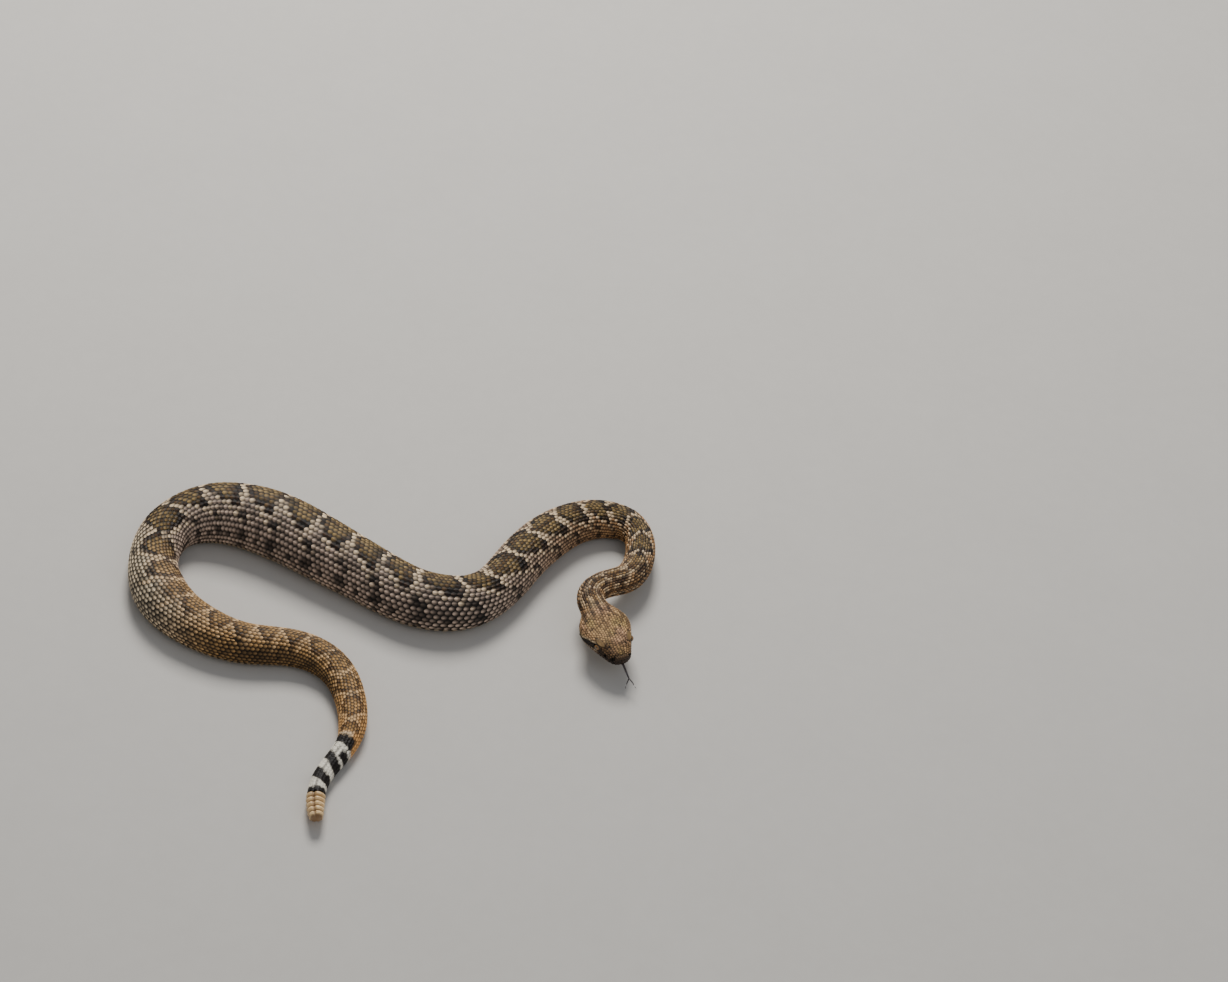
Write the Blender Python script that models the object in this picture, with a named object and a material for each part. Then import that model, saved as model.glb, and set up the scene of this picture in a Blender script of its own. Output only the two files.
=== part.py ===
"""Western diamondback rattlesnake, life size, lying in loose bends with its head lifted off the floor.

Lengths are millimetres until a mesh is made, and metres after that. The floor is z = 0 and +Z is up. The camera side
is -Y. "Along" is the distance from the tip of the snout towards the rattle, measured on the snake's centre line seen
from above. A section is upright, square to that line: "across" is positive on the snake's left, and "turn" is the
angle round the section from its top (0) down one side (90 degrees) to the middle of the belly (180 degrees).
"""

import math

import bmesh
import bpy
import numpy as np

MM = 0.001
GAP = 0.3  # between solids that meet
STEP = 0.5  # between samples of the centre line

# The centre line. The head is straight, from SNOUT to NAPE.
SNOUT = (175.3, 6.6)
NAPE = (149.3, 51.1)
COURSE = (
    (145.8, 59.1), (147.8, 70.6), (159.8, 83.1), (169.8, 92.6), (175.3, 105.6), (176.8, 125.6),
    (171.8, 144.6), (163.3, 153.1), (147.3, 155.6), (124.3, 145.1), (104.3, 122.6), (89.8, 96.1),
    (76.8, 68.1), (55.3, 47.1), (24.3, 43.6), (-11.7, 57.6), (-47.2, 74.6), (-81.7, 90.6),
    (-112.7, 98.6), (-139.7, 96.6), (-162.2, 81.1), (-170.2, 57.1), (-165.7, 27.6), (-152.2, 5.6),
    (-124.7, -12.9), (-91.2, -20.9), (-54.2, -18.4), (-30.2, -26.9), (-10.7, -55.4), (-6.2, -95.9),
    (-18.7, -131.4), (-14.6, -173.9),
)

# Where the named lengths of the animal end, along the centre line
HEAD_END = 48.0
NECK_END = 128.0
VENT = 856.0
TAIL_END = 912.0
BODY_LENGTHS = 8
BODY_SIDES = 18
SEGMENTS = 4
SEGMENT_LENGTH = 4.4
BUTTON_LENGTH = 5.4

# Height of the centre line over the floor, from the snout to where the belly comes to rest
LIFTED_ALONG = (0.0, 25.0, 46.0, 58.0, 80.0, 105.0, 138.0)
LIFTED_HEIGHT = (18.5, 21.0, 23.0, 23.2, 21.0, 17.0, 14.0)
REST_FROM = 178.0
RATTLE_RISE = ((894.0, 0.0), (914.0, 1.2), (936.0, 4.0))

# Half width of the animal, and its height above and below the centre line: (along, half width, above, below)
SIZES = (
    (0.0, 0.0, 0.0, 0.0), (0.5, 3.8, 2.6, 2.5), (1.4, 5.9, 4.1, 3.8), (3.0, 7.7, 5.2, 4.8),
    (6.0, 9.6, 6.1, 5.6), (10.0, 11.5, 7.0, 6.3), (14.0, 13.4, 7.7, 6.9), (19.0, 15.6, 8.1, 7.8),
    (24.0, 17.6, 8.3, 8.8), (29.0, 19.2, 8.5, 9.5), (34.0, 19.4, 8.8, 9.6), (39.0, 18.0, 9.2, 9.3),
    (44.0, 15.0, 9.5, 9.0), (50.0, 11.4, 9.7, 8.9), (57.0, 10.4, 9.8, 8.9), (75.0, 10.6, 9.9, 9.0), (120.0, 11.4, 10.6, 9.2),
    (150.0, 11.2, 10.6, 9.4), (180.0, 14.4, 13.4, 10.7), (210.0, 16.5, 15.4, 11.8), (250.0, 18.3, 17.1, 12.8),
    (300.0, 18.2, 17.2, 12.9), (350.0, 21.9, 20.2, 14.8), (400.0, 22.9, 21.1, 15.4), (450.0, 25.1, 23.0, 16.6),
    (490.0, 26.2, 24.0, 17.0), (530.0, 24.4, 22.4, 16.0), (575.0, 18.9, 17.6, 13.4), (605.0, 17.9, 16.8, 12.9),
    (640.0, 19.8, 18.4, 13.9), (680.0, 17.7, 16.5, 12.9), (720.0, 15.4, 14.4, 11.6), (770.0, 13.3, 12.5, 10.6),
    (810.0, 11.5, 10.8, 9.6), (838.0, 10.4, 9.6, 8.9), (860.0, 8.1, 7.7, 7.3), (885.0, 7.4, 7.1, 6.8),
    (900.0, 7.1, 7.0, 6.7), (912.0, 6.8, 6.8, 6.5), (930.0, 6.9, 7.0, 6.6), (940.0, 6.5, 6.6, 6.3),
)
# Squareness of a section's upper and lower half, 2 for an ellipse: (along, upper, lower)
SQUARENESS = (
    (0.0, 2.2, 2.2), (4.0, 3.2, 2.5), (14.0, 3.7, 2.7), (24.0, 3.2, 2.6), (34.0, 2.6, 2.5), (46.0, 2.1, 2.4),
    (80.0, 2.0, 2.5), (180.0, 1.95, 2.9), (848.0, 1.95, 2.9), (872.0, 2.0, 2.3), (940.0, 2.0, 2.0),
)
BELLY_FLAT = 0.94  # share of the depth below the centre line at which the belly is flat

# Belly scutes, each standing for two or three real ones
SCUTE_PITCH = 12.0
SCUTE_STEP = 0.5
SCUTE_RISE = 0.35  # share of a scute over which it comes down to its flat
SCUTE_TURN = 118.0  # degrees: where a scute's side edge lies
SCUTES_FROM = 60.0

# Head, in millimetres along, above the centre line and across
MOUTH_LINE = ((0.0, -1.4), (6.0, -1.9), (14.0, -2.3), (22.0, -2.5), (30.0, -3.2), (37.0, -4.6))
MOUTH_CORNER = 36.0
JAW_SLANT = 25.0  # how far the back of the lower jaw comes forward over the height of its cutter
EYE_ALONG, EYE_ABOVE, EYE_RADIUS = 16.5, 2.6, 2.5
EYE_STANDS_OUT = 0.7
BROW_ALONG, BROW_ABOVE, BROW_OUT = 16.4, 6.0, -1.2
BROW_SIZE = (5.2, 3.0, 1.1)  # half length, half width, half thickness of the scale over the eye
BROW_PITCH, BROW_LEAN, BROW_YAW = 10.0, 12.0, 20.0  # degrees down to the front, down to the outside, in to the front
NOSTRIL_ALONG, NOSTRIL_ABOVE, NOSTRIL_RADIUS = 3.2, 2.2, 0.75
PIT_ALONG, PIT_ABOVE, PIT_RADIUS = 8.6, 0.5, 1.0
HOLE_DEPTH = 1.1
LIP_STANDS_OUT = 0.35
LIP_HEIGHT = 1.9

# Tongue, as places in the model: its root at the lips, its fork and its two tips
TONGUE_STEM = ((173.9, 10.2, 16.9), (176.7, 5.2, 15.6), (179.1, 1.6, 13.5), (180.9, -0.4, 11.2))
TONGUE_TIPS = (((180.5, -2.4, 9.6), (179.8, -5.6, 8.7), (179.7, -9.2, 9.2)),
               ((183.3, -2.0, 9.9), (185.3, -4.4, 9.1), (187.1, -7.8, 9.6)))
TONGUE_WIDTH, TONGUE_THICKNESS, TIP_SHARE = 1.9, 1.0, 0.35
TONGUE_SIDES = 8
NOTCH_ROOM = 0.4

COLOURS = {  # base colour, roughness
    "head": ((0.30, 0.21, 0.12), 0.6), "jaw": ((0.48, 0.38, 0.25), 0.6), "eye": ((0.25, 0.18, 0.08), 0.15),
    "tongue": ((0.02, 0.015, 0.02), 0.35), "skin": ((0.33, 0.25, 0.17), 0.6), "tail": ((0.62, 0.58, 0.50), 0.6),
    "rattle": ((0.60, 0.47, 0.28), 0.45),
}


def eased(at, stations, values):
    """Monotone cubic through (stations, values): its slope is the harmonic mean of the two sides, or 0 at a turn."""
    x, y = np.array(stations, float), np.array(values, float)
    width, rise = np.diff(x), np.diff(y)
    slope = rise / width
    inner = np.where(slope[:-1] * slope[1:] > 0, 2 * slope[:-1] * slope[1:] / (slope[:-1] + slope[1:] + 1e-12), 0.0)
    slopes = np.concatenate([slope[:1], inner, slope[-1:]])
    at = np.clip(at, x[0], x[-1])
    i = np.clip(np.searchsorted(x, at, "right") - 1, 0, len(x) - 2)
    u = (at - x[i]) / width[i]
    start, end = slopes[i] * width[i], slopes[i + 1] * width[i]
    return y[i] + u * start + u**2 * (3 * rise[i] - 2 * start - end) + u**3 * (start + end - 2 * rise[i])


def sizes(along):
    """Half width, height above and depth below the centre line. Rooted distances keep the snout blunt."""
    stations, *values = zip(*SIZES)
    return [eased(np.sqrt(along), np.sqrt(stations), v) for v in values]


def squareness(along):
    stations, *values = zip(*SQUARENESS)
    return [eased(along, stations, v) for v in values]


def smooth_curve(points, start_direction):
    """Cubic spline through the points, which leaves the first one in start_direction, sampled every STEP or so."""
    points = np.array(points, float)
    chord = np.linalg.norm(np.diff(points, axis=0), axis=1)
    count = len(points)
    system, right = np.zeros((count, count)), np.zeros(points.shape)
    system[0, 0], right[0] = 1, start_direction
    for i in range(1, count - 1):
        a, b = chord[i - 1], chord[i]
        system[i, i - 1 : i + 2] = 1 / a, 2 / a + 2 / b, 1 / b
        right[i] = 3 * ((points[i] - points[i - 1]) / a**2 + (points[i + 1] - points[i]) / b**2)
    system[-1, -2:] = 1, 2
    right[-1] = 3 * (points[-1] - points[-2]) / chord[-1]
    slopes = np.linalg.solve(system, right)
    knots = np.concatenate([[0], np.cumsum(chord)])
    at = np.linspace(0, knots[-1], int(knots[-1] / STEP))
    i = np.clip(np.searchsorted(knots, at, "right") - 1, 0, count - 2)
    u, h = ((at - knots[i]) / chord[i])[:, None], chord[i][:, None]
    rise, start, end = points[i + 1] - points[i], slopes[i] * h, slopes[i + 1] * h
    return points[i] + u * start + u**2 * (3 * rise - 2 * start - end) + u**3 * (start + end - 2 * rise)


def centre_line():
    """Distances along the centre line, and its places and directions seen from above."""
    snout, nape = np.array(SNOUT), np.array(NAPE)
    heading = (nape - snout) / np.linalg.norm(nape - snout)
    head = snout + np.outer(np.arange(0, np.linalg.norm(nape - snout), STEP), heading)
    line = np.vstack([head, smooth_curve((NAPE, *COURSE), heading)])
    direction = np.gradient(line, axis=0)
    direction /= np.linalg.norm(direction, axis=1)[:, None]
    along = np.concatenate([[0], np.cumsum(np.linalg.norm(np.diff(line, axis=0), axis=1))])
    return along, line, direction


ALONG, LINE, DIRECTION = centre_line()


def centre_height(along):
    """Height of the centre line: lifted at the head and neck, then at rest on the flat belly, with the rattle raised."""
    rest_depth = sizes(np.array([REST_FROM]))[2][0] * BELLY_FLAT
    lifted = eased(along, (*LIFTED_ALONG, REST_FROM), (*LIFTED_HEIGHT, rest_depth))
    resting = sizes(along)[2] * BELLY_FLAT + eased(along, *zip(*RATTLE_RISE))
    return np.where(along < REST_FROM, lifted, resting)


def place(along, across, above):
    """Places in the model of points given by their distance along, across and above the centre line."""
    along, across, above = np.broadcast_arrays(*(np.array(v, float) for v in (along, across, above)))
    x, y = (np.interp(along, ALONG, LINE[:, k]) for k in (0, 1))
    dx, dy = (np.interp(along, ALONG, DIRECTION[:, k]) for k in (0, 1))
    length = np.hypot(dx, dy)
    return np.stack([x + across * dy / length, y - across * dx / length, centre_height(along) + above], axis=-1)


def outline(along, turn):
    """Across and above of the skin. A half section is a superellipse in polar form, cut flat at the belly
    from the neck on."""
    half_width, above, below = sizes(along)
    upper, lower = squareness(along)
    top = np.abs(turn) < math.pi / 2
    height = np.maximum(np.where(top, above, below), 1e-6)
    power = np.where(top, upper, lower)
    sine, cosine = np.abs(np.sin(turn)), np.abs(np.cos(turn))
    radius = ((sine / np.maximum(half_width, 1e-6)) ** power + (cosine / height) ** power) ** (-1 / power)
    across, up = radius * np.sin(turn), radius * np.cos(turn)
    up = np.maximum(up, -eased(along, (HEAD_END, REST_FROM), (1.0, BELLY_FLAT)) * below)
    on_head = np.clip((HEAD_END - along) / 10, 0, 1) * np.clip(along / 3, 0, 1)
    lip = np.exp(-(((up - eased(along, *zip(*MOUTH_LINE))) / LIP_HEIGHT) ** 4))
    return across + np.sign(turn) * np.sin(np.abs(turn)) * LIP_STANDS_OUT * lip * on_head, up


def skin_point(along, turn_degrees):
    along, turn = np.array([float(along)]), np.array([math.radians(turn_degrees)])
    return place(along, *outline(along, turn))[0]


def new_object(name, bm):
    """A named object from a bmesh in millimetres, with outward faces."""
    bmesh.ops.recalc_face_normals(bm, faces=bm.faces)
    bmesh.ops.scale(bm, vec=(MM, MM, MM), verts=bm.verts)
    mesh = bpy.data.meshes.new(name)
    bm.to_mesh(mesh)
    bm.free()
    obj = bpy.data.objects.new(name, mesh)
    bpy.context.scene.collection.objects.link(obj)
    return obj


def loft(name, rings, first_tip=None, last_tip=None):
    """A closed skin over rings of points, each end a flat face or a fan to its tip."""
    bm = bmesh.new()
    loops = [[bm.verts.new(p) for p in ring] for ring in rings]
    for a, b in zip(loops, loops[1:]):
        for i in range(len(a)):
            j = (i + 1) % len(a)
            bm.faces.new((a[i], a[j], b[j], b[i]))
    for loop, tip in ((loops[0], first_tip), (loops[-1], last_tip)):
        if tip is None:
            bm.faces.new(loop)
            continue
        end = bm.verts.new(tip)
        for i in range(len(loop)):
            bm.faces.new((loop[i], loop[(i + 1) % len(loop)], end))
    return new_object(name, bm)


def ring_turns(count):
    """Turns right round a section, closer together where the sides of the head carry the mouth and eyes."""
    even = np.linspace(-math.pi, math.pi, count, endpoint=False)
    return even + 0.12 * np.sin(2 * even)


def body_rings(start, end):
    """Rings between two distances. Each belly scute rises a little from its front edge to lie over the next."""
    firsts = np.arange(math.floor(start / SCUTE_PITCH), math.ceil(end / SCUTE_PITCH) + 1) * SCUTE_PITCH
    stations = [(start, False)]
    for first in firsts:
        stations += [(first - GAP / 2, False), (first + GAP / 2, True), (first + SCUTE_RISE * SCUTE_PITCH, False)]
    stations = [s for s in stations if start + 1 < s[0] < end - 1]
    stations = [(start, False), *stations, (end, False)]
    turn = ring_turns(BODY_SIDES)
    under = np.clip((np.degrees(np.abs(turn)) - SCUTE_TURN) / 12, 0, 1)
    rings = []
    for along, sunk in stations:
        across, above = outline(np.full(BODY_SIDES, along), turn)
        step = SCUTE_STEP * under * (sunk and along > SCUTES_FROM)
        rings.append(place(along, across * (1 - 0.02 * (step > 0)), above + step))
    return rings


def tube(name, start, end):
    """One length of neck, body or tail, parted from its neighbours by a gap."""
    return loft(name, body_rings(start + GAP / 2, end - GAP / 2))


def ball(name, centre, radii, axes, segments=16, rings=10):
    """An ellipsoid with its own three axes."""
    bm = bmesh.new()
    bmesh.ops.create_uvsphere(bm, u_segments=segments, v_segments=rings, radius=1)
    for v in bm.verts:
        offset = sum(radii[k] * v.co[k] * np.array(axes[k]) for k in range(3))
        v.co = np.array(centre) + offset
    return new_object(name, bm)


def head_axes():
    """Forward along the head, to its left, and up."""
    forward = np.array([SNOUT[0] - NAPE[0], SNOUT[1] - NAPE[1], 0.0])
    forward /= np.linalg.norm(forward)
    left = np.array([-forward[1], forward[0], 0.0])
    return forward, left, np.array([0.0, 0.0, 1.0])


def side_turn(along, above):
    """The turn, in degrees, at which the side of the head is that far above the centre line."""
    turns = np.radians(np.linspace(20, 170, 301))
    up = outline(np.full(len(turns), along), turns)[1]
    return math.degrees(turns[np.argmin(np.abs(up - above))])


def on_side(along, above, side, outwards):
    """A place on one side of the head, moved out of the skin by that much, or into it where it is negative."""
    point = skin_point(along, side * side_turn(along, above))
    return point + side * head_axes()[1] * outwards


def head_shell():
    """The whole head with its lower jaw, as one closed skin."""
    stations = np.concatenate([(0.12, 0.5, 1.2, 2.2), np.arange(3.6, 20, 1.7), np.arange(20.5, HEAD_END - 1, 2.3)])
    turn = ring_turns(40)
    rings = []
    for along in (*stations, HEAD_END - GAP / 2):
        rings.append(place(along, *outline(np.full(len(turn), along), turn)))
    return loft("head", rings, first_tip=place(0, 0, 0))


def mouth_block(name, margin):
    """A block that holds the lower jaw, as much larger as the margin: its top face follows the line of the mouth."""
    reach = 30.0
    stations = np.linspace(-4, MOUTH_CORNER, 14)
    line = eased(stations, *zip(*MOUTH_LINE)) + margin
    forward, left, up = head_axes()
    start = np.array([*SNOUT, 0.0])
    height = centre_height(np.maximum(stations, 0))
    stations[-1] += margin
    profile = [start - forward * s + up * (h + z) for s, h, z in zip(stations, height, line)]
    low = [start - forward * s - up * reach for s in (stations[-1] - JAW_SLANT, stations[0])]
    bm = bmesh.new()
    face = bm.faces.new([bm.verts.new(p - left * reach) for p in (*profile, *low)])
    grown = bmesh.ops.extrude_face_region(bm, geom=[face])["geom"]
    bmesh.ops.translate(bm, vec=left * 2 * reach, verts=[g for g in grown if isinstance(g, bmesh.types.BMVert)])
    return new_object(name, bm)


def combine(obj, others, operation):
    """Applies one Boolean with a collection of closed objects, then removes them."""
    group = bpy.data.collections.new("operands")
    bpy.context.scene.collection.children.link(group)
    for other in others:
        bpy.context.scene.collection.objects.unlink(other)
        group.objects.link(other)
    modifier = obj.modifiers.new(operation.lower(), "BOOLEAN")
    modifier.operation, modifier.solver = operation, "EXACT"
    modifier.operand_type, modifier.collection = "COLLECTION", group
    graph = bpy.context.evaluated_depsgraph_get()
    made = bpy.data.meshes.new_from_object(obj.evaluated_get(graph))
    obj.modifiers.clear()
    obj.data = made
    for other in others:
        bpy.data.objects.remove(other)
    bpy.data.collections.remove(group)
    return obj


def keep_largest(obj):
    """Keeps only the closed surface with the largest box, so that no loose scrap stays."""
    bm = bmesh.new()
    bm.from_mesh(obj.data)
    left, islands = set(bm.verts), []
    while left:
        island, edge = set(), [left.pop()]
        while edge:
            v = edge.pop()
            island.add(v)
            near = {e.other_vert(v) for e in v.link_edges} & left
            left -= near
            edge += near
        islands.append(island)
    islands.sort(key=lambda i: np.ptp([v.co for v in i], axis=0).prod())
    bmesh.ops.delete(bm, geom=[v for i in islands[:-1] for v in i], context="VERTS")
    bm.to_mesh(obj.data)
    bm.free()
    return obj


def brow(side):
    """The wide scale that overhangs an eye, tilted down a little to the outside and the front."""
    forward, left, up = head_axes()
    pitch, lean, yaw = (math.radians(v) for v in (BROW_PITCH, BROW_LEAN, BROW_YAW))
    level_ahead = math.cos(yaw) * forward - math.sin(yaw) * side * left
    level_outward = math.cos(yaw) * side * left + math.sin(yaw) * forward
    ahead = math.cos(pitch) * level_ahead - math.sin(pitch) * up
    outward = math.cos(lean) * level_outward - math.sin(lean) * up
    centre = on_side(BROW_ALONG, BROW_ABOVE, side, BROW_OUT)
    return ball(f"brow{side}", centre, BROW_SIZE, (ahead, outward, np.cross(ahead, outward) * side), 18, 8)


def eye_centre(side):
    return on_side(EYE_ALONG, EYE_ABOVE, side, EYE_STANDS_OUT - EYE_RADIUS)


def hollows():
    """What is cut from the head: a socket round each eye, the nostrils and the heat pits."""
    axes, found = head_axes(), []
    for side in (1, -1):
        socket = EYE_RADIUS + GAP
        found.append(ball(f"socket{side}", eye_centre(side), (socket,) * 3, axes, 18, 12))
        for along, above, radius in ((NOSTRIL_ALONG, NOSTRIL_ABOVE, NOSTRIL_RADIUS), (PIT_ALONG, PIT_ABOVE, PIT_RADIUS)):
            size = (radius, HOLE_DEPTH + radius, radius * 0.85)
            found.append(ball(f"hole{side}{along}", on_side(along, above, side, radius), size, axes, 10, 8))
    return found


def strand(name, points, thickest, thinnest, count, room=0.0):
    """A flat tapering strand of tongue through the points, that much larger all round and at its root."""
    start = np.subtract(points[1], points[0]) / np.linalg.norm(np.subtract(points[1], points[0]))
    line = smooth_curve((np.array(points[0]) - start * room, *points[1:]), start)
    line = line[np.linspace(0, len(line) - 1, count).astype(int)]
    direction = np.gradient(line, axis=0)
    direction /= np.linalg.norm(direction, axis=1)[:, None]
    side = np.cross(direction, (0, 0, 1))
    side /= np.linalg.norm(side, axis=1)[:, None]
    turn = np.linspace(0, 2 * math.pi, TONGUE_SIDES, endpoint=False)
    rings = []
    for point, wide, high, share in zip(line, side, np.cross(side, direction), np.linspace(thickest, thinnest, count)):
        half_width, half_height = share * TONGUE_WIDTH / 2 + room, max(share, 0.55) * TONGUE_THICKNESS / 2 + room
        rings.append(point + half_width * np.outer(np.cos(turn), wide) + half_height * np.outer(np.sin(turn), high))
    return loft(name, rings)


def build_head():
    """The head and its lower jaw: one skin, with brows added and hollows cut, parted at the line of the mouth."""
    head = combine(head_shell(), [brow(1), brow(-1)], "UNION")
    combine(head, hollows(), "DIFFERENCE")
    jaw = bpy.data.objects.new("jaw", head.data.copy())
    bpy.context.scene.collection.objects.link(jaw)
    combine(jaw, [mouth_block("jaw_space", -GAP / 2)], "INTERSECT")
    combine(head, [mouth_block("jaw_space", GAP / 2)], "DIFFERENCE")
    for obj in (head, jaw):
        combine(obj, [strand("notch", TONGUE_STEM[:3], 1.0, 1.0, 5, NOTCH_ROOM)], "DIFFERENCE")
    return keep_largest(head), keep_largest(jaw)


def build_tongue():
    """A flat stem and two tines that taper and curl, joined into one."""
    stem = strand("tongue", TONGUE_STEM, 1.0, 0.75, 9)
    tines = [strand(f"tine{k}", (*TONGUE_STEM[-2:], *tip), 0.6, TIP_SHARE, 12) for k, tip in enumerate(TONGUE_TIPS)]
    return keep_largest(combine(stem, tines, "UNION"))


def rattle_ring(along, swell):
    """A section of the rattle: an upright oval with a furrow down each side and a shallow one above and below."""
    turn = np.linspace(-math.pi, math.pi, 20, endpoint=False)
    across, above = outline(np.full(len(turn), along), turn)
    furrow = 0.13 * np.exp(-(((np.abs(turn) - math.pi / 2) / 0.28) ** 2))
    shallow = 0.05 * np.exp(-((np.minimum(np.abs(turn), math.pi - np.abs(turn)) / 0.25) ** 2))
    share = swell * (1 - furrow - shallow)
    return place(along, across * share, above * share)


def build_rattle():
    """Loose horny segments in a row, each a ring that swells and draws in, and the rounded button at the end."""
    profile = ((0.0, 0.86), (0.14, 1.02), (0.45, 1.1), (0.75, 1.02), (1.0, 0.84))
    start, made = TAIL_END, []
    for k in range(SEGMENTS):
        length = SEGMENT_LENGTH - GAP
        rings = [rattle_ring(start + GAP / 2 + t * length, swell) for t, swell in profile]
        made.append(loft(f"rattle_segment_{k + 1}", rings))
        start += SEGMENT_LENGTH
    rings = [rattle_ring(start + GAP / 2 + t * (BUTTON_LENGTH - GAP), swell)
             for t, swell in ((0.0, 0.84), (0.18, 1.0), (0.5, 0.94), (0.8, 0.62), (0.95, 0.3))]
    made.append(loft("rattle_button", rings, last_tip=place(start + BUTTON_LENGTH - GAP / 2, 0, 0)))
    return made


def dress(obj, finish):
    """Gives an object its own material, and smooth shading."""
    colour, roughness = COLOURS[finish]
    material = bpy.data.materials.new(obj.name)
    material.use_nodes = True
    shader = material.node_tree.nodes["Principled BSDF"]
    shader.inputs["Base Color"].default_value = (*colour, 1)
    shader.inputs["Roughness"].default_value = roughness
    obj.data.materials.clear()
    obj.data.materials.append(material)
    obj.data.shade_smooth()
    obj.data.set_sharp_from_angle(angle=math.radians(40))


def main():
    for obj in list(bpy.data.objects):
        bpy.data.objects.remove(obj)
    head, jaw = build_head()
    dress(head, "head")
    dress(jaw, "jaw")
    for side, name in ((1, "eye_left"), (-1, "eye_right")):
        dress(ball(name, eye_centre(side), (EYE_RADIUS,) * 3, head_axes()), "eye")
    dress(build_tongue(), "tongue")
    dress(tube("neck", HEAD_END, NECK_END), "skin")
    length = (VENT - NECK_END) / BODY_LENGTHS
    for k in range(BODY_LENGTHS):
        start = NECK_END + k * length
        dress(tube(f"body_{k + 1}", start, start + length), "skin")
    dress(tube("tail", VENT, TAIL_END), "tail")
    for obj in build_rattle():
        dress(obj, "rattle")


main()
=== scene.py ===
"""Dresses the rattlesnake: one skin, its scales, scutes and plates, eyes, tongue and rattle.

Lengths are millimetres until a mesh is made. A place on the skin is given by two numbers: "along", the
distance from the tip of the snout on the centre line seen from above, and "share", how far round the section
it lies from the middle of the back (0) to the middle of the belly (1), positive on the snake's left.
"""

import logging
import math
from dataclasses import dataclass, field
from enum import Enum

import bpy
import numpy as np
from mathutils import Matrix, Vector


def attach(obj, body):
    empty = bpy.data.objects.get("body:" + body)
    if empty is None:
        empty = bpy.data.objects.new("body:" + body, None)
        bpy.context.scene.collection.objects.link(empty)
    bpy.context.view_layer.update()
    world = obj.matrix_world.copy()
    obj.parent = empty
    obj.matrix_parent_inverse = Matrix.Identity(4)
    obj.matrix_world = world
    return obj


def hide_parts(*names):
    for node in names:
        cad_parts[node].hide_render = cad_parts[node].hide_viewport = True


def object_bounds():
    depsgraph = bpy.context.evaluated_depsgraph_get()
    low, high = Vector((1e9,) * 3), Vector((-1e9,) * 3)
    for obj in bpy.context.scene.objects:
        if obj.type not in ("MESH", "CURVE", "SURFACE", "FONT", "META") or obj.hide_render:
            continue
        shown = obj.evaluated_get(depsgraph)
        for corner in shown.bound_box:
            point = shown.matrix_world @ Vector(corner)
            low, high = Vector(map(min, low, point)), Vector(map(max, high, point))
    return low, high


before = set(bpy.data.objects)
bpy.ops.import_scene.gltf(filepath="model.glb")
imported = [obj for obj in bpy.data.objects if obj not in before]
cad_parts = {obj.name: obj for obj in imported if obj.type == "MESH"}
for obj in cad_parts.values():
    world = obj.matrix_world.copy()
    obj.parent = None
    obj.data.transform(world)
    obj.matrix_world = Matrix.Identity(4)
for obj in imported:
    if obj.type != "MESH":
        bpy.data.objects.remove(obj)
CAD_BOX = [list(corner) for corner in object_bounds()]

log = logging.getLogger("rattlesnake")
MM = 0.001
Array = np.ndarray

# The centre line seen from above. The head is straight, from SNOUT to NAPE.
SNOUT, NAPE = (175.3, 6.6), (149.3, 51.1)
COURSE = (
    (145.8, 59.1), (147.8, 70.6), (159.8, 83.1), (169.8, 92.6), (175.3, 105.6), (176.8, 125.6),
    (171.8, 144.6), (163.3, 153.1), (147.3, 155.6), (124.3, 145.1), (104.3, 122.6), (89.8, 96.1),
    (76.8, 68.1), (55.3, 47.1), (24.3, 43.6), (-11.7, 57.6), (-47.2, 74.6), (-81.7, 90.6),
    (-112.7, 98.6), (-139.7, 96.6), (-162.2, 81.1), (-170.2, 57.1), (-165.7, 27.6), (-152.2, 5.6),
    (-124.7, -12.9), (-91.2, -20.9), (-54.2, -18.4), (-30.2, -26.9), (-10.7, -55.4), (-6.2, -95.9),
    (-18.7, -131.4), (-14.6, -173.9),
)
HEAD_END, TAIL_END, RATTLE_END = 48.0, 912.0, 935.0
# Where the head's own scales end, where the lowest row leaves the lips for the belly, and the belly's edge
HEAD_SCALES_END, LEAVES_LIPS, BODY_EDGE = 50.0, (33, 47), 0.735
# Height of the centre line over the floor where head and neck are lifted. From REST_FROM the body lies.
LIFTED_ALONG = (0.0, 25.0, 46.0, 58.0, 80.0, 105.0, 138.0)
LIFTED_HEIGHT = (18.5, 21.0, 23.0, 23.2, 21.0, 17.0, 14.0)
REST_FROM = 178.0
# Along, and how much higher the end of the tail and the rattle are than at rest
RATTLE_RISE = ((894.0, 0.0), (914.0, 1.2), (936.0, 4.0))
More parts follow.
